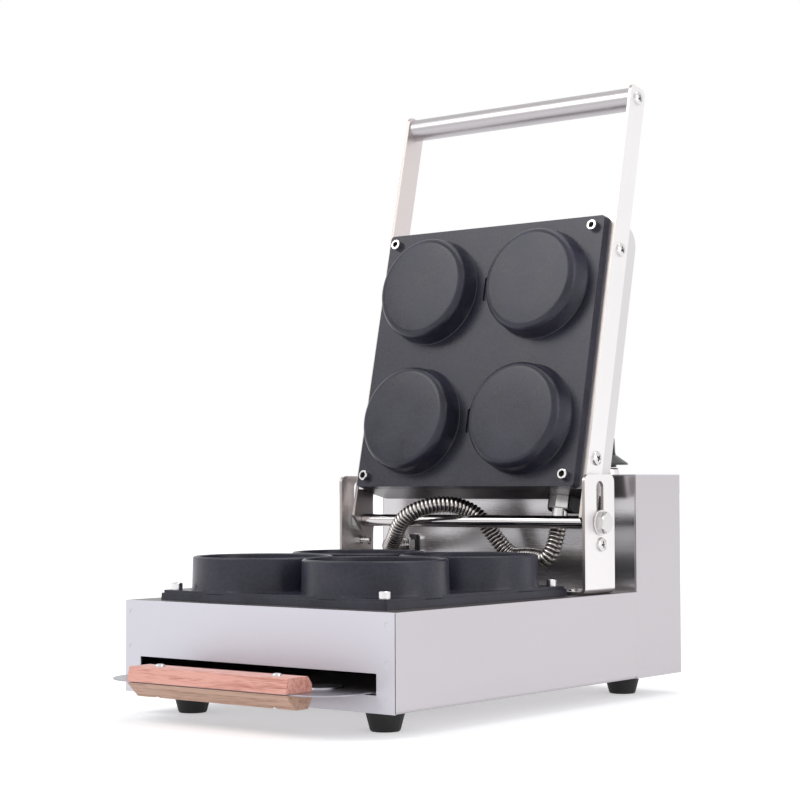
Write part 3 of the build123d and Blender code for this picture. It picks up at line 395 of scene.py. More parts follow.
# Painted shade and reflection: the left arm is the same bar steel as the right one, given a darker, pinker
# colour.
left_arm_shaded_steel = satin_steel("left_arm_painted_shade_steel", UPRIGHT, (0.69, 0.63, 0.625), 0.28, 0.36)
for bar in (arm_steel, left_arm_shaded_steel):
    cut_edges(bar, "X", "LESS_THAN", CUT_EDGE)
cut_edges(bracket_steel, "Y", "GREATER_THAN", CUT_EDGE)
deck_steel = satin_steel("deck_steel", ACROSS, (0.20, 0.185, 0.185), 0.30, 0.40)
# Painted shade: the tray's sheet steel gets a darker tone than the body's sheet.
tray_shaded_steel = satin_steel("tray_shaded_steel", ACROSS, (0.36, 0.35, 0.38), 0.24, 0.32)
box_front_steel = satin_steel("box_front_steel", ACROSS, (0.60, 0.58, 0.60), 0.19, 0.25, 0.012)
cover_steel = satin_steel("lid_cover_steel", UPRIGHT, (0.72, 0.695, 0.70), 0.24, 0.32)
# Painted shade: the downward faces near the lid cover's foot are coloured near-black.
SHADED_HEIGHT = 0.012
UNSHADED_HEIGHT = 0.03
cover_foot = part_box("lid_cover")[0].z
heat_tint(cover_steel, (0.055, 0.05, 0.052), cover_foot + SHADED_HEIGHT, cover_foot + UNSHADED_HEIGHT)
print("painted underside shade fades out above the cover's foot by, mm:", round(UNSHADED_HEIGHT / MM))

# %% Plated screws, turned tubes and the conduit
TUBE_GRAIN = (6, 700, 700)
plated_steel = grained("plated_steel", (0.68, 0.66, 0.66), 0.16, EVEN, 600.0, 0.05, 0.0001, metallic=1.0)
# Painted shade: the recesses of the screw heads are coloured near-black.
two_tone_by(plated_steel, "recess", (0.68, 0.66, 0.66), (0.09, 0.08, 0.08), 0.0, 0.8)
handle_steel = grained(
    "handle_tube_steel", (0.44, 0.42, 0.43), 0.32, TUBE_GRAIN, 1.0, 0.05, 0.00005, metallic=1.0)
bright_tube = grained(
    "bright_tube_steel", (0.58, 0.555, 0.56), 0.12, TUBE_GRAIN, 1.0, 0.05, 0.00005, metallic=1.0)
conduit_steel = grained(
    "conduit_steel", (0.60, 0.565, 0.545), 0.24, EVEN, 300.0, 0.05, 0.00005, metallic=1.0)
# Painted shade: the conduit's valleys between the ribs are coloured dark.
two_tone_by(conduit_steel, "crest", (0.10, 0.09, 0.085), (0.60, 0.565, 0.545), 0.10, 0.62)
print("steels:", sum("steel" in material.name for material in bpy.data.materials))


# %% [markdown]
# ## Coated castings and small materials
# The cups and discs are cast metal under a dark grey non-stick coat. The coat is slightly pebbled and
# has a soft sheen, so a low bump with small cells goes under a middle roughness. Rubber, moulded
# plastic and the insulation board get a grain of their own size. The two pilot lamps share one finish,
# which is green on one side of the machine and red on the other.

# %% Non-stick coating
SPECK_SHARE = 0.6
coating = new_finish("non_stick_coating", (0.034, 0.033, 0.042))
inputs_of(coating)["Specular IOR Level"].default_value = 0.33
pebbles = noise_in(coating, EVEN, 700.0, detail=2.0)
wear = noise_in(coating, EVEN, 28.0)
specks = noise_in(coating, EVEN, 380.0, detail=3.0)
coating.node_tree.links.new(ranged(coating, wear, 0.26, 0.36), inputs_of(coating)["Roughness"])
mottle = math_node(coating.node_tree, "MULTIPLY_ADD", specks, SPECK_SHARE, wear)
two_tone(coating, mottle, (0.020, 0.0195, 0.0305), (0.038, 0.0365, 0.0565), 0.62, 0.98)
add_bump(coating, pebbles, 0.26, 0.00025)
print("coating nodes:", len(coating.node_tree.nodes))

# %% Rubber, plastic, nylon, board and lens
rubber = grained("foot_rubber", (0.012, 0.012, 0.013), 0.62, EVEN, 500.0, 0.15, 0.0002)
black_plastic = grained("black_plastic", (0.018, 0.018, 0.02), 0.34, EVEN, 900.0, 0.06, 0.0001, detail=1.0)
nylon = grained("white_nylon", (0.84, 0.83, 0.82), 0.42, EVEN, 300.0, 0.05, 0.0001)
board = new_finish("insulation_board", (0.78, 0.75, 0.68), roughness=0.9)
fibres = noise_in(board, EVEN, 500.0)
two_tone(board, fibres, (0.66, 0.63, 0.56), (0.82, 0.80, 0.74))
add_bump(board, fibres, 0.4, 0.0003)
GREEN_LENS = (0.02, 0.30, 0.06)
RED_LENS = (0.60, 0.03, 0.02)
lens = grained("lamp_lens", RED_LENS, 0.12, EVEN, 200.0, 0.03, 0.0001, coat=0.6)
two_tone(lens, axes_of(lens, "Object")["X"], GREEN_LENS, RED_LENS, -0.001, 0.001)
print("finishes so far:", len(bpy.data.materials))


# %% [markdown]
# ## Wood of the tray grip
# The grip is two strips of varnished wood, the upper one pinker. Wood shows long streaks along the
# strip and short dark pores, so one noise is stretched along X for the streaks and a finer one for the
# pores, and the varnish is a thin clear coat over both.

# %% Wood
PORE_SHARE = 0.8


def varnished_wood(name, dark, light):
    material = new_finish(name, light, roughness=0.42, coat=0.2)
    streaks = noise_in(material, (12, 260, 260), 1.0, detail=5.0, distortion=0.4)
    pores = noise_in(material, (70, 1100, 1100), 1.0, detail=2.0)
    grain = math_node(material.node_tree, "MULTIPLY_ADD", pores, PORE_SHARE, streaks)
    two_tone(material, grain, dark, light, 0.66, 0.98)
    add_bump(material, pores, 0.12, 0.0002)
    return material


wood_upper = varnished_wood("wood_pink", (0.50, 0.18, 0.13), (0.82, 0.405, 0.33))
wood_lower = varnished_wood("wood_tan", (0.42, 0.23, 0.15), (0.68, 0.42, 0.30))


# %% Which finish each part gets
finishes = {
    steel_across: ["front_panel", "control_panel_top"],
    deck_steel: ["deck_plate"],
    tray_shaded_steel: ["tray_sheet"],
    cover_steel: ["lid_cover"],
    steel_lengthwise: ["base_shell", "control_box_shell"],
    arm_steel: ["handle_arm_right"],
    left_arm_shaded_steel: ["handle_arm_left"],
    bracket_steel: ["hinge_bracket_left", "hinge_bracket_right", "dial_bosses"],
    box_front_steel: ["control_box_front"],
    handle_steel: ["handle_tube"],
    bright_tube: ["hinge_sleeve"],
    coating: ["lower_mould_plate", "upper_mould_plate", "moulding_discs"],
    rubber: ["rubber_feet"],
    black_plastic: ["temperature_knob", "timer_knob", "conduit_box_flange", "lid_conduit_guard",
                    "cord_gland", "thermostat_body", "timer_body", "terminal_block"],
    nylon: ["hinge_spacers"],
    board: ["lower_insulation", "upper_insulation"],
    wood_upper: ["tray_grip_upper"],
    wood_lower: ["tray_grip_lower"],
    lens: ["pilot_lamps"],
}
for part in nodes.values():
    part.data.materials.clear()
    part.data.materials.append(plated_steel)
for finish, names in finishes.items():
    for name in names:
        nodes[name].data.materials[0] = finish
print("finishes given:", len(finishes) + 1)


# %% [markdown]
# ## Softened edges
# No real edge is perfectly sharp: sheet is deburred and castings have a small radius, and that thin
# curve catches the light. The CAD parts keep their shape, so a copy of the part is merged into clean
# faces and bevelled, and stands in for the part.

# %% Bevelled copies
SAME_POINT = 0.000002
SAME_PLANE = math.radians(0.4)
SHARP = math.radians(35)
BEVEL_SEGMENTS = 2


def bake(piece):
    depsgraph = bpy.context.evaluated_depsgraph_get()
    mesh = bpy.data.meshes.new_from_object(piece.evaluated_get(depsgraph))
    piece.modifiers.clear()
    piece.data = mesh
    return piece


def softened(name, width):
    mesh = nodes[name].data.copy()
    work = bmesh.new()
    work.from_mesh(mesh)
    bmesh.ops.remove_doubles(work, verts=work.verts, dist=SAME_POINT)
    bmesh.ops.dissolve_limit(work, angle_limit=SAME_PLANE, verts=work.verts, edges=work.edges)
    work.to_mesh(mesh)
    work.free()
    mesh.shade_smooth()
    mesh.set_sharp_from_angle(angle=SHARP)
    piece = in_scene(name + "_edges", mesh)
    bevel = piece.modifiers.new("edge", "BEVEL")
    bevel.width = width * MM
    bevel.segments = BEVEL_SEGMENTS
    bevel.limit_method = "ANGLE"
    bevel.angle_limit = SHARP
    bevel.use_clamp_overlap = True
    normals = piece.modifiers.new("flat faces stay flat", "WEIGHTED_NORMAL")
    normals.keep_sharp = True
    bake(piece)
    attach(piece, body_of_part[name])
    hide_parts(name)


edge_widths = {
    "front_panel": 0.35, "deck_plate": 0.3, "base_shell": 0.3, "control_box_shell": 0.3,
    "control_panel_top": 0.35, "handle_arm_left": 0.5, "handle_arm_right": 0.5, "hinge_bracket_left": 0.5,
    "hinge_bracket_right": 0.5, "lower_mould_plate": 0.6, "upper_mould_plate": 0.4, "tray_sheet": 0.25,
    "tray_grip_upper": 0.8, "tray_grip_lower": 0.8, "temperature_knob": 0.4, "timer_knob": 0.4,
    "lid_conduit_guard": 0.6, "hinge_spacers": 0.4, "hinge_washers": 0.3, "hinge_axle": 0.3,
    "hinge_axle_nut": 0.3, "lid_conduit_nut": 0.3, "conduit_box_nut": 0.3, "control_box_front": 0.2,
    "lid_cover": 0.3,
}
for name, width in edge_widths.items():
    softened(name, width)
print("parts with softened edges:", len(edge_widths))


# %% [markdown]
# ## Geometry Nodes helpers
# Ribs, screws and dial marks repeat by a rule, so node trees make them. Each tree has named inputs, and
# a helper sets them by name, because a modifier only knows the sockets by their identifiers.

# %% Helpers for node trees
def new_tree(name, inputs):
    tree = bpy.data.node_groups.new(name, "GeometryNodeTree")
    tree.interface.new_socket("Geometry", in_out="INPUT", socket_type="NodeSocketGeometry")
    for label, kind in inputs:
        tree.interface.new_socket(label, in_out="INPUT", socket_type="NodeSocket" + kind)
    tree.interface.new_socket("Geometry", in_out="OUTPUT", socket_type="NodeSocketGeometry")
    return tree, tree.nodes.new("NodeGroupInput"), tree.nodes.new("NodeGroupOutput")


def run_tree(piece, tree, values):
    modifier = piece.modifiers.new(tree.name, "NODES")
    modifier.node_group = tree
    sockets = {s.name: s.identifier for s in tree.interface.items_tree if s.in_out == "INPUT"}
    for label, value in values.items():
        modifier[sockets[label]] = value
    return bake(piece)


# %% [markdown]
# ## The ribbed conduit
# A steel conduit carries the lid's wires. It is a fixed length of tube with round ribs, so it is a curve
# with a tube swept along it, and the tube's radius rises and falls with the length travelled. Each point
# of the curve also keeps how near it is to a crest, and the steel's colour reads that to paint shade
# into the valleys.
# The hinge floats and the lid turns, so the conduit is two pieces: a short one that bends between the
# base and the hinge, and a long one that winds round the hinge line to the lid.

# %% The conduit's route
CONDUIT_D = 0.016
ROUTE = [
    (-114.8, 339, 137), (-114.8, 321, 137), (-88, 293, 138.5), (-61, 276, 169), (-25, 290.5, 181),
    (-5, 317.5, 172), (12, 327, 145.5), (28, 332, 128), (52, 324.5, 131),
]
route_points = [place(*p) for p in ROUTE]
STRAIGHT_TO_LID = 42
gland_x, gland_y, gland_z = LID_GLAND
route_points += [place_on_lid(gland_x, gland_y + STRAIGHT_TO_LID, gland_z), lid_gland]


def smooth_line(name, points):
    curve = bpy.data.curves.new(name, "CURVE")
    curve.dimensions = "3D"
    curve.resolution_u = 32
    spline = curve.splines.new("NURBS")
    spline.points.add(len(points) - 1)
    for point, target in zip(spline.points, points):
        point.co = (*target, 1)
    spline.order_u = 3
    spline.use_endpoint_u = True
    line = in_scene(name, curve)
    mesh = bpy.data.meshes.new_from_object(line)
    bpy.data.objects.remove(line)
    return [v.co.copy() for v in mesh.vertices]


def length_of(points):
    return sum((b - a).length for a, b in zip(points, points[1:]))


line_points = smooth_line("conduit_line", route_points)
line_length = length_of(line_points)
print("conduit length, m:", round(line_length, 4), "from", len(line_points), "points")


# %% A tube whose radius follows its ribs
RIB_ROUNDNESS = 0.5


def ribbed_sweep(tree, curve, sizes, start_length=0.0):
    link = tree.links.new
    resample = tree.nodes.new("GeometryNodeResampleCurve")
    resample.mode = "LENGTH"
    link(curve, resample.inputs["Curve"])
    link(math_node(tree, "DIVIDE", sizes["Rib pitch"], sizes["Steps per rib"]), resample.inputs["Length"])
    travelled = tree.nodes.new("GeometryNodeSplineParameter")
    from_start = math_node(tree, "ADD", travelled.outputs["Length"], start_length)
    turns = math_node(tree, "DIVIDE", from_start, sizes["Rib pitch"])
    wave = math_node(tree, "COSINE", math_node(tree, "MULTIPLY", turns, math.tau))
    half_wave = math_node(tree, "MULTIPLY", math_node(tree, "ADD", wave, 1.0), 0.5)
    rounded = math_node(tree, "POWER", half_wave, RIB_ROUNDNESS)
    drop = math_node(tree, "MULTIPLY", math_node(tree, "SUBTRACT", 1.0, rounded), sizes["Rib height"])
    radius = math_node(tree, "SUBTRACT", sizes["Crest radius"], drop)
    profile = tree.nodes.new("GeometryNodeCurvePrimitiveCircle")
    link(sizes["Sides"], profile.inputs["Resolution"])
    set_inputs(profile, {"Radius": 1.0})
    sweep = tree.nodes.new("GeometryNodeCurveToMesh")
    marked = tree.nodes.new("GeometryNodeStoreNamedAttribute")
    marked.data_type = "FLOAT"
    marked.domain = "POINT"
    set_inputs(marked, {"Name": "crest"})
    link(resample.outputs["Curve"], marked.inputs["Geometry"])
    link(half_wave, marked.inputs["Value"])
    link(marked.outputs["Geometry"], sweep.inputs["Curve"])
    link(profile.outputs["Curve"], sweep.inputs["Profile Curve"])
    link(radius, sweep.inputs["Scale"])
    set_inputs(sweep, {"Fill Caps": True})
    smooth = tree.nodes.new("GeometryNodeSetShadeSmooth")
    link(sweep.outputs["Mesh"], smooth.inputs["Geometry"])
    return smooth.outputs["Geometry"]


# %% The tree that makes the conduit
def finish_tree(tree, geometry, material, result):
    realized = tree.nodes.new("GeometryNodeRealizeInstances")
    tree.links.new(geometry, realized.inputs["Geometry"])
    finish = tree.nodes.new("GeometryNodeSetMaterial")
    tree.links.new(realized.outputs["Geometry"], finish.inputs["Geometry"])
    tree.links.new(material, finish.inputs["Material"])
    tree.links.new(finish.outputs["Geometry"], result.inputs["Geometry"])


RIB_INPUTS = [("Crest radius", "Float"), ("Rib height", "Float"), ("Rib pitch", "Float"),
              ("Steps per rib", "Int"), ("Sides", "Int")]


def ribbed_tube_tree():
    tree, given, result = new_tree(
        "ribbed tube", RIB_INPUTS + [("Start length", "Float"), ("Finish", "Material")])
    as_curve = tree.nodes.new("GeometryNodeMeshToCurve")
    tree.links.new(given.outputs["Geometry"], as_curve.inputs["Mesh"])
    tube = ribbed_sweep(tree, as_curve.outputs["Curve"], given.outputs, given.outputs["Start length"])
    finish_tree(tree, tube, given.outputs["Finish"], result)
    return tree


ribbed_tube = ribbed_tube_tree()
RIB_COUNT = 86
RIB_PITCH = line_length / RIB_COUNT
RIB_HEIGHT = 0.0014
STEPS_PER_RIB = 10
CONDUIT_SIDES = 32


def conduit_piece(name, points, start_length):
    mesh = bpy.data.meshes.new(name)
    mesh.from_pydata(points, [(i, i + 1) for i in range(len(points) - 1)], [])
    return run_tree(in_scene(name, mesh), ribbed_tube, {
        "Crest radius": CONDUIT_D / 2, "Rib height": RIB_HEIGHT, "Rib pitch": RIB_PITCH,
        "Steps per rib": STEPS_PER_RIB, "Sides": CONDUIT_SIDES, "Start length": start_length,
        "Finish": conduit_steel})


print("rib pitch, mm:", round(RIB_PITCH / MM, 2))


# %% Two conduit pieces, joined where the conduit starts to climb
CLIMB_START = place(-98, 302, 138.5)
split = min(range(len(line_points)), key=lambda i: (line_points[i] - CLIMB_START).length)
first_length = length_of(line_points[:split + 1])
box_side = conduit_piece("conduit_to_hinge", line_points[:split + 1], 0.0)
lid_side = conduit_piece("conduit_to_lid", line_points[split:], first_length)
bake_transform(box_side)
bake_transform(lid_side)
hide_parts("flexible_conduit")
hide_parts("flexible_conduit")
print("conduit pieces, m:", round(first_length, 4), round(line_length - first_length, 4))


# %% [markdown]
# ## Screws
# Two kinds of screw show: socket heads that hold the castings, and pan heads with a cross recess on the
# arms, the brackets, the lid's stops and the tray's grip. The CAD model has them as plain solids, so the
# script reads where each one stands, and a node tree puts a head with its recess there and runs a thread
# below it. Each head is a stack of rings of points, from the seat up to the rim and down into the recess.
# The distance from a solid's end to the head's seat is given for each group: on the tray's grip it is
# larger than the head, because the solid stands further out of the wood.

# %% Rings of points round an axis: a circle, a hexagon and a cross
HEAD_SIDES = 24
HEAD_ANGLES = [math.tau * i / HEAD_SIDES for i in range(HEAD_SIDES)]
CROSS_HALF_WIDTH = math.tan(math.pi / 12)
CROSS_ARM_TO = math.pi / 11


def round_ring(radius, z):
    return [(radius * math.cos(a), radius * math.sin(a), z) for a in HEAD_ANGLES]


def hex_ring(across, z):
    sixth = math.pi / 3
    reach = [across / 2 / math.cos((a + sixth / 2) % sixth - sixth / 2) for a in HEAD_ANGLES]
    return [(r * math.cos(a), r * math.sin(a), z) for r, a in zip(reach, HEAD_ANGLES)]


def cross_ring(arm, z):
    points = []
    for a in HEAD_ANGLES:
        from_arm = (a + math.pi / 4) % (math.pi / 2) - math.pi / 4
        half_width = arm * CROSS_HALF_WIDTH
        near_arm = abs(from_arm) < CROSS_ARM_TO
        r = arm / math.cos(from_arm) if near_arm else half_width / math.sin(abs(from_arm))
        points.append((r * math.cos(a), r * math.sin(a), z))
    return points


# %% Heads, as stacks of rings
PAN_PROFILE = [(1.0, 0.0), (1.0, 0.3), (0.9, 0.68), (0.66, 0.92), (0.55, 1.0)]
CROSS_PROFILE = [(0.48, 1.0), (0.30, 0.25)]
HEAD_SHARP = math.radians(32)
SOCKET_DEPTH = 4.5
SOCKET_RIM = 0.5


def head_object(name, rings):
    points = [p for ring in rings for p in ring] + [(0, 0, rings[0][0][2]), (0, 0, rings[-1][0][2])]
    faces = []
    for low in range(0, HEAD_SIDES * (len(rings) - 1), HEAD_SIDES):
        for i in range(HEAD_SIDES):
            j = (i + 1) % HEAD_SIDES
            faces.append((low + i, low + j, low + HEAD_SIDES + j, low + HEAD_SIDES + i))
    last = HEAD_SIDES * (len(rings) - 1)
    for i in range(HEAD_SIDES):
        j = (i + 1) % HEAD_SIDES
        faces.append((j, i, len(points) - 2))
        faces.append((last + i, last + j, len(points) - 1))
    mesh = bpy.data.meshes.new(name)
    mesh.from_pydata([Vector(p) * MM for p in points], [], faces)
    # The recess floor is marked here for the painted shade in the screws' colour.
    sunk = [0.0] * last + [1.0] * HEAD_SIDES + [0.0, 1.0]
    mesh.attributes.new("recess", "FLOAT", "POINT").data.foreach_set("value", sunk)
    mesh.shade_smooth()
    mesh.set_sharp_from_angle(angle=HEAD_SHARP)
    return bpy.data.objects.new(name, mesh)


def socket_head(radius, height, across):
    return head_object("socket_head", [
        round_ring(radius, 0), round_ring(radius, height - SOCKET_RIM),
        round_ring(radius - SOCKET_RIM, height), hex_ring(across, height),
        hex_ring(across, height - SOCKET_DEPTH)])


def cross_head(radius, height):
    pan = [round_ring(r * radius, z * height) for r, z in PAN_PROFILE]
    return head_object("cross_head", pan + [cross_ring(r * radius, z * height) for r, z in CROSS_PROFILE])


# %% A tree that builds screws on points
def named_value(tree, name, kind):
    value = tree.nodes.new("GeometryNodeInputNamedAttribute")
    value.data_type = kind
    set_inputs(value, {"Name": name})
    return value.outputs["Attribute"]


def screw_tree():
    tree, given, result = new_tree("screws", RIB_INPUTS + [
        ("Head", "Object"), ("Seed", "Int"), ("Finish", "Material")])
    link = tree.links.new
    aim = named_value(tree, "aim", "FLOAT_VECTOR")
    shank = named_value(tree, "shank", "FLOAT")
    along = tree.nodes.new("FunctionNodeAlignRotationToVector")
    along.axis = "Z"
    link(aim, along.inputs["Vector"])
    spin = tree.nodes.new("FunctionNodeRandomValue")
    spin.data_type = "FLOAT"
    for socket in (s for s in spin.inputs if s.type == "VALUE" and s.name == "Max"):
        socket.default_value = math.tau
    link(given.outputs["Seed"], spin.inputs["Seed"])
    about = tree.nodes.new("ShaderNodeCombineXYZ")
    link(next(s for s in spin.outputs if s.type == "VALUE"), about.inputs["Z"])
    as_turn = tree.nodes.new("FunctionNodeEulerToRotation")
    link(about.outputs[0], as_turn.inputs["Euler"])
    turned = tree.nodes.new("FunctionNodeRotateRotation")
    turned.rotation_space = "LOCAL"
    link(along.outputs["Rotation"], turned.inputs["Rotation"])
    link(as_turn.outputs["Rotation"], turned.inputs["Rotate By"])
    head = tree.nodes.new("GeometryNodeObjectInfo")
    link(given.outputs["Head"], head.inputs["Object"])
    heads = tree.nodes.new("GeometryNodeInstanceOnPoints")
    link(given.outputs["Geometry"], heads.inputs["Points"])
    link(head.outputs["Geometry"], heads.inputs["Instance"])
    link(turned.outputs["Rotation"], heads.inputs["Rotation"])
    line = tree.nodes.new("GeometryNodeCurvePrimitiveLine")
    set_inputs(line, {"Start": (0, 0, 0), "End": (0, 0, -1)})
    stretch = tree.nodes.new("ShaderNodeCombineXYZ")
    set_inputs(stretch, {"X": 1.0, "Y": 1.0})
    link(shank, stretch.inputs["Z"])
    lines = tree.nodes.new("GeometryNodeInstanceOnPoints")
    link(given.outputs["Geometry"], lines.inputs["Points"])
    link(line.outputs["Curve"], lines.inputs["Instance"])
    link(turned.outputs["Rotation"], lines.inputs["Rotation"])
    link(stretch.outputs[0], lines.inputs["Scale"])
    real_lines = tree.nodes.new("GeometryNodeRealizeInstances")
    link(lines.outputs["Instances"], real_lines.inputs["Geometry"])
    threads = ribbed_sweep(tree, real_lines.outputs["Geometry"], given.outputs)
    both = tree.nodes.new("GeometryNodeJoinGeometry")
    link(heads.outputs["Instances"], both.inputs["Geometry"])
    link(threads, both.inputs["Geometry"])
    finish_tree(tree, both.outputs["Geometry"], given.outputs["Finish"], result)
    return tree


screws_on_points = screw_tree()
print("nodes that build a screw:", len(screws_on_points.nodes))


# %% Where each solid of a group stands
def solids_of(name):
    work = bmesh.new()
    work.from_mesh(nodes[name].data)
    bmesh.ops.remove_doubles(work, verts=work.verts, dist=SAME_POINT)
    left = set(work.verts)
    solids = []
    while left:
        todo = [left.pop()]
        solid = []
        while todo:
            vertex = todo.pop()
            solid.append(vertex.co.copy())
            near = {edge.other_vert(vertex) for edge in vertex.link_edges} & left
            left -= near
            todo += near
        solids.append(solid)
    work.free()
    return sorted(solids, key=lambda s: (min(p.x for p in s), min(p.y for p in s)))


def ends_along(points, aim):
    side = aim.orthogonal().normalized()
    other = aim.cross(side)
    middle = Vector((0, 0, 0))
    for direction in (side, other):
        reach = [p.dot(direction) for p in points]
        middle += direction * (min(reach) + max(reach)) / 2
    heights = [p.dot(aim) for p in points]
    return middle + aim * max(heights), max(heights) - min(heights)


# %% Put a screw in place of each plain one
THREAD_DEPTH = 0.55
STEPS_PER_THREAD = 4
THREAD_SIDES = 16


def place_screws(name, aim, head, end_to_seat, shank_radius, pitch):
    bases = []
    aims = []
    shanks = []
    for solid in solids_of(name):
        outward = aim or Vector((math.copysign(1, sum(p.x for p in solid)), 0, 0))
        top, length = ends_along(solid, outward)
        bases.append(top - outward * end_to_seat * MM)
        aims.append(outward)
        shanks.append(length - end_to_seat * MM)
    mesh = bpy.data.meshes.new(name + "_turned")
    mesh.from_pydata(bases, [], [])
    aim_values = mesh.attributes.new("aim", "FLOAT_VECTOR", "POINT").data
    aim_values.foreach_set("vector", [v for a in aims for v in a])
    mesh.attributes.new("shank", "FLOAT", "POINT").data.foreach_set("value", shanks)
    piece = run_tree(in_scene(name + "_turned", mesh), screws_on_points, {
        "Crest radius": shank_radius * MM, "Rib height": THREAD_DEPTH * pitch * MM,
        "Rib pitch": pitch * MM, "Steps per rib": STEPS_PER_THREAD, "Sides": THREAD_SIDES,
        "Head": head, "Seed": len(name), "Finish": plated_steel})
    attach(piece, body_of_part[name])
    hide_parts(name)
    print(name, "screws:", len(bases), "longest shank, mm:", round(max(shanks) / MM, 1))


# %% The screws of the machine
UP = Vector((0, 0, 1))
OUT_OF_LID = LID_TURN @ -UP
M6_HEAD = socket_head(5.0, 6.0, 5.8)
ARM_HEAD = cross_head(6.7, 3.2)
STOP_HEAD = cross_head(6.6, 3.0)
BRACKET_HEAD = cross_head(4.6, 2.6)
GRIP_HEAD = cross_head(4.2, 2.0)
place_screws("lower_mould_screws", UP, M6_HEAD, end_to_seat=6.0, shank_radius=3.0, pitch=1.0)
place_screws("upper_mould_screws", OUT_OF_LID, M6_HEAD, end_to_seat=6.0, shank_radius=3.0, pitch=1.0)
place_screws("bracket_screws", UP, BRACKET_HEAD, end_to_seat=2.6, shank_radius=2.5, pitch=0.8)
place_screws("stop_bolts", None, STOP_HEAD, end_to_seat=3.0, shank_radius=2.5, pitch=0.8)
place_screws("arm_screws", None, ARM_HEAD, end_to_seat=3.2, shank_radius=2.5, pitch=0.8)
place_screws("tray_grip_screws", UP, GRIP_HEAD, end_to_seat=4.4, shank_radius=2.0, pitch=0.7)


# %% The nuts of the grip's screws, sunk in its lower half
NUT_HEIGHT = 2.6
NUT_ACROSS = 7.0
NUT_REACH = NUT_ACROSS / math.sqrt(3)


def mesh_from(work, name, material=None):
    mesh = bpy.data.meshes.new(name)
    work.to_mesh(mesh)
    work.free()
    if material:
        mesh.materials.append(material)
    return mesh


nut_work = bmesh.new()
for solid in solids_of("tray_grip_screws"):
    foot = ends_along(solid, -UP)[0]
    nut = bmesh.ops.create_cone(nut_work, cap_ends=True, segments=6, radius1=NUT_REACH * MM,
                                radius2=NUT_REACH * MM, depth=NUT_HEIGHT * MM)["verts"]
    bmesh.ops.translate(nut_work, verts=nut, vec=foot + UP * NUT_HEIGHT / 2 * MM)
sunk_nuts = in_scene("tray_grip_nuts_sunk", mesh_from(nut_work, "tray_grip_nuts_sunk", plated_steel))
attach(sunk_nuts, "tray")
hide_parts("tray_grip_nuts")
print("sunk nuts, mm across and high:", NUT_ACROSS, NUT_HEIGHT)


# %% [markdown]
# ## Moulding discs
# The discs press the batter flat, and they are cast with a generous round edge and sloping sides so that
# the cake lets go. A turned shape is one profile spun round an axis, so the profile is written as points
# with an arc for the edge. The thin lip at the foot is where the disc seats on its plate.

# %% The disc's profile
DISC_HEIGHT = 22.0
DISC_FOOT_R = 52.4
DISC_LIP_R = 53.4
DISC_EDGE = 7.5
DISC_SLOPE = math.radians(6)
LIP_HEIGHT = 0.45
LIP_CHAMFER = 0.2
FOOT_HEIGHT = 1.0
FOOT_CHAMFER = 0.3
EDGE_STEPS = 10
DISC_SIDES = 96
DISC_SHARP = math.radians(40)


def disc_profile():
    edge_z = DISC_HEIGHT - DISC_EDGE
    edge_r = DISC_FOOT_R - edge_z * math.tan(DISC_SLOPE) - DISC_EDGE / math.cos(DISC_SLOPE)
    points = [(0, 0), (DISC_LIP_R, 0), (DISC_LIP_R, LIP_HEIGHT),
              (DISC_LIP_R - LIP_CHAMFER, LIP_HEIGHT + LIP_CHAMFER),
              (DISC_FOOT_R + FOOT_CHAMFER, FOOT_HEIGHT - FOOT_CHAMFER), (DISC_FOOT_R, FOOT_HEIGHT)]
    for step in range(EDGE_STEPS + 1):
        a = DISC_SLOPE + (math.pi / 2 - DISC_SLOPE) * step / EDGE_STEPS
        points.append((edge_r + DISC_EDGE * math.cos(a), edge_z + DISC_EDGE * math.sin(a)))
    return points + [(edge_r * 0.5, DISC_HEIGHT), (0, DISC_HEIGHT)]


# %% Spin the profile and set four discs on the lid
def spun(name, profile, sides):
    work = bmesh.new()
    chain = [work.verts.new((r * MM, 0, z * MM)) for r, z in profile]
    edges = [work.edges.new(pair) for pair in zip(chain, chain[1:])]
    bmesh.ops.spin(work, geom=chain + edges, axis=(0, 0, 1), cent=(0, 0, 0), angle=math.tau, steps=sides)
    bmesh.ops.remove_doubles(work, verts=work.verts, dist=SAME_POINT)
    bmesh.ops.recalc_face_normals(work, faces=work.faces)
    return mesh_from(work, name)


def joined(name, meshes, material):
    work = bmesh.new()
    for mesh in meshes:
        work.from_mesh(mesh)
    return in_scene(name, mesh_from(work, name, material))


disc_meshes = []
for solid in solids_of("moulding_discs"):
    face_centre = ends_along(solid, OUT_OF_LID)[0]
    foot = face_centre - OUT_OF_LID * DISC_HEIGHT * MM
    disc = spun("disc", disc_profile(), DISC_SIDES)
    disc.transform(Matrix.Translation(foot) @ OUT_OF_LID.to_track_quat("Z", "Y").to_matrix().to_4x4())
    disc_meshes.append(disc)
discs = joined("spun_moulding_discs", disc_meshes, coating)
discs.data.shade_smooth()
discs.data.set_sharp_from_angle(angle=DISC_SHARP)
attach(discs, "lid")
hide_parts("moulding_discs")
print("discs:", len(disc_meshes), "faces each:", len(disc_meshes[0].polygons))


# %% [markdown]
# ## Dials
# Each knob turns over a printed scale on the panel. The long and short marks stand at equal angles, so a
# node tree sets them out; the numbers are short text curves made into thin meshes. The scales start at
# the user's lower left and run clockwise, as on any cooker.

# %% Printing inks and the tree of the scale marks
PRINT_THICK = 0.00004
MARK_GAP = 0.0016
MARK_WIDTH = 0.0006
SHORT_MARK = 0.0022
LONG_MARK = 0.0036
MARKS_PER_NUMBER = 5
NUMBER_SIZE = 0.0052
NUMBER_GAP = 0.0094
ink = grained("dial_ink", (0.03, 0.03, 0.035), 0.5, EVEN, 2500.0, 0.05, 0.00002)
white_ink = grained("pointer_ink", (0.80, 0.80, 0.78), 0.5, EVEN, 2500.0, 0.05, 0.00002)


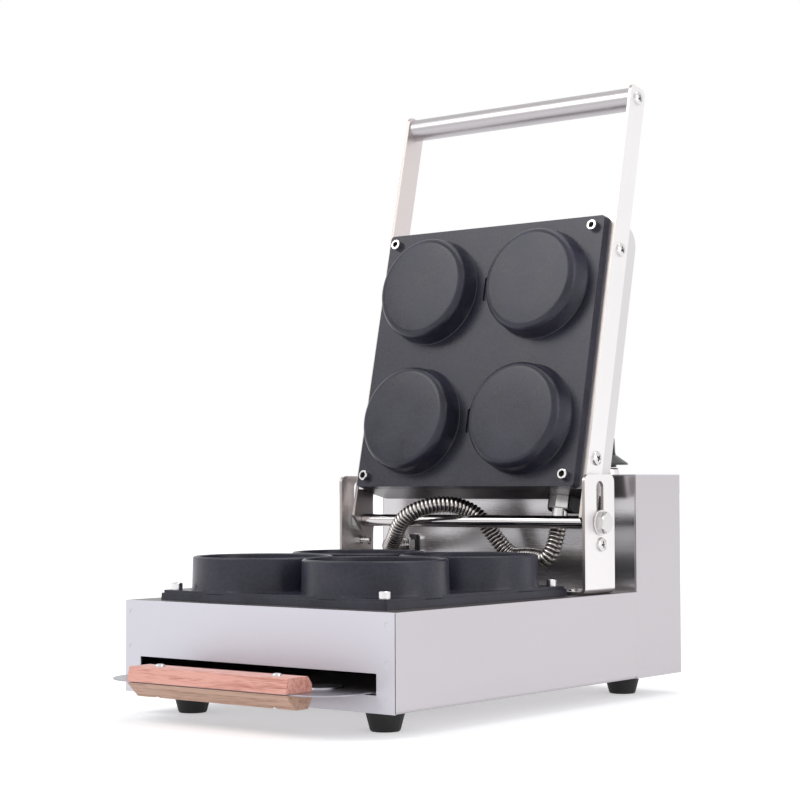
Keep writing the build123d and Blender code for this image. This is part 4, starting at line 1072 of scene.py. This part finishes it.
def scale_tree():
    tree, given, result = new_tree("dial scale", [
        ("Marks", "Int"), ("Long every", "Int"), ("Inner radius", "Float"), ("First angle", "Float"),
        ("Sweep", "Float"), ("Finish", "Material")])
    link = tree.links.new
    number = tree.nodes.new("GeometryNodeInputIndex")
    steps = math_node(tree, "SUBTRACT", given.outputs["Marks"], 1.0)
    share = math_node(tree, "DIVIDE", number.outputs[0], steps)
    angle = math_node(tree, "SUBTRACT", given.outputs["First angle"],
                      math_node(tree, "MULTIPLY", share, given.outputs["Sweep"]))
    in_turn = math_node(tree, "MODULO", number.outputs[0], given.outputs["Long every"])
    is_long = math_node(tree, "LESS_THAN", in_turn, 0.5)
    longer_by = math_node(tree, "MULTIPLY", is_long, LONG_MARK - SHORT_MARK)
    length = math_node(tree, "ADD", SHORT_MARK, longer_by)
    reach = math_node(tree, "ADD", given.outputs["Inner radius"], math_node(tree, "MULTIPLY", length, 0.5))
    spot = tree.nodes.new("ShaderNodeCombineXYZ")
    link(math_node(tree, "MULTIPLY", reach, math_node(tree, "COSINE", angle)), spot.inputs["X"])
    link(math_node(tree, "MULTIPLY", reach, math_node(tree, "SINE", angle)), spot.inputs["Y"])
    points = tree.nodes.new("GeometryNodePoints")
    link(given.outputs["Marks"], points.inputs["Count"])
    link(spot.outputs[0], points.inputs["Position"])
    bar = tree.nodes.new("GeometryNodeMeshCube")
    set_inputs(bar, {"Size": (1.0, MARK_WIDTH, PRINT_THICK)})
    turn = tree.nodes.new("ShaderNodeCombineXYZ")
    link(angle, turn.inputs["Z"])
    as_turn = tree.nodes.new("FunctionNodeEulerToRotation")
    link(turn.outputs[0], as_turn.inputs["Euler"])
    size = tree.nodes.new("ShaderNodeCombineXYZ")
    link(length, size.inputs["X"])
    set_inputs(size, {"Y": 1.0, "Z": 1.0})
    marks = tree.nodes.new("GeometryNodeInstanceOnPoints")
    link(points.outputs[0], marks.inputs["Points"])
    link(bar.outputs["Mesh"], marks.inputs["Instance"])
    link(as_turn.outputs["Rotation"], marks.inputs["Rotation"])
    link(size.outputs[0], marks.inputs["Scale"])
    finish_tree(tree, marks.outputs["Instances"], given.outputs["Finish"], result)
    return tree


dial_scale = scale_tree()


# %% Both dials, marks and numbers
def flat_text(words, size, at):
    curve = bpy.data.curves.new("number", "FONT")
    curve.body = words
    curve.size = size
    curve.align_x = "CENTER"
    curve.align_y = "CENTER"
    curve.extrude = PRINT_THICK / 2
    text = in_scene("number", curve)
    bpy.context.view_layer.update()
    mesh = bpy.data.meshes.new_from_object(text)
    bpy.data.objects.remove(text)
    mesh.transform(Matrix.Translation(at))
    return mesh


def dial(name, knob, numbers, sweep_deg):
    low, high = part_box(knob)
    centre = (low + high) / 2
    centre.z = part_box("control_panel_top")[1].z + PRINT_THICK / 2
    skirt = (high.x - low.x) / 2
    sweep = math.radians(sweep_deg)
    first = math.radians(270) - (math.tau - sweep) / 2
    marks = run_tree(in_scene(name, bpy.data.meshes.new(name)), dial_scale, {
        "Marks": MARKS_PER_NUMBER * (len(numbers) - 1) + 1, "Long every": MARKS_PER_NUMBER,
        "Inner radius": skirt + MARK_GAP, "First angle": first, "Sweep": sweep, "Finish": ink})
    marks.data.transform(Matrix.Translation(centre))
    meshes = [marks.data]
    for place_in_row, words in enumerate(numbers):
        angle = first - sweep * place_in_row / (len(numbers) - 1)
        at = centre + Vector((math.cos(angle), math.sin(angle), 0)) * (skirt + NUMBER_GAP)
        meshes.append(flat_text(words, NUMBER_SIZE, at))
    piece = joined(name, meshes, ink)
    bpy.data.objects.remove(marks)
    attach(piece, "base")
    marks_end = skirt + MARK_GAP + LONG_MARK
    print(name, "numbers:", " ".join(numbers), "marks end at, mm:", round(marks_end / MM, 1))
    return first, centre


TEMPERATURES = [str(t) for t in range(0, 301, 50)]
TEMPERATURE_SWEEP = 290
MINUTES = [str(m) for m in range(6)]
MINUTES_SWEEP = 300
temperature_first, temperature_centre = dial(
    "temperature_scale", "temperature_knob", TEMPERATURES, TEMPERATURE_SWEEP)
timer_first, timer_centre = dial("timer_scale", "timer_knob", MINUTES, MINUTES_SWEEP)


# %% The white pointer line on each knob
POINTER_LENGTH = 0.0065
POINTER_WIDTH = 0.0011
POINTER_FROM = 0.0035


def pointer(name, knob, first, centre):
    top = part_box(knob)[1].z
    line = bmesh.new()
    bmesh.ops.create_cube(line, size=1.0)
    bmesh.ops.scale(line, verts=line.verts, vec=(POINTER_LENGTH, POINTER_WIDTH, PRINT_THICK))
    bmesh.ops.translate(line, verts=line.verts, vec=(POINTER_FROM + POINTER_LENGTH / 2, 0, 0))
    bmesh.ops.rotate(line, verts=line.verts, cent=(0, 0, 0), matrix=Matrix.Rotation(first, 3, "Z"))
    bmesh.ops.translate(line, verts=line.verts, vec=(centre.x, centre.y, top - PRINT_THICK / 4))
    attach(in_scene(name, mesh_from(line, name, white_ink)), knob)


pointer("temperature_pointer", "temperature_knob", temperature_first, temperature_centre)
pointer("timer_pointer", "timer_knob", timer_first, timer_centre)
print("pointer lines, mm long:", round(POINTER_LENGTH / MM, 1))


# %% [markdown]
# ## Seams
# The front panel is welded inside the wrap of the base, which leaves a thin shaded gap at each corner. A
# narrow dark strip set just under the surface of the sheet paints that shadow as a line in every view.

# %% Painted shadow lines at the front corners
SEAM_WIDTH = 0.0009
SEAM_PROUD = 0.00003
SEAM_INSET = 0.0002
SEAM_SHORTER = 0.001
painted_seam_shadow = grained("seam_shadow", (0.035, 0.024, 0.02), 0.8, EVEN, 800.0, 0.3, 0.0001)
base_low, base_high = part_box("base_shell")
panel_low, panel_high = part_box("front_panel")
seam_height = panel_high.z - panel_low.z - SEAM_SHORTER
seam_work = bmesh.new()
for side in (base_low.x, base_high.x):
    strip = bmesh.ops.create_cube(seam_work, size=1.0)["verts"]
    bmesh.ops.scale(seam_work, verts=strip, vec=(2 * SEAM_PROUD, SEAM_WIDTH, seam_height))
    middle = Vector((side, panel_low.y + SEAM_INSET + SEAM_WIDTH / 2, (panel_high.z + panel_low.z) / 2))
    bmesh.ops.translate(seam_work, verts=strip, vec=middle)
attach(in_scene("front_corner_seams", mesh_from(seam_work, "front_corner_seams", painted_seam_shadow)), "base")
print("seam height, mm:", round(seam_height / MM, 1))
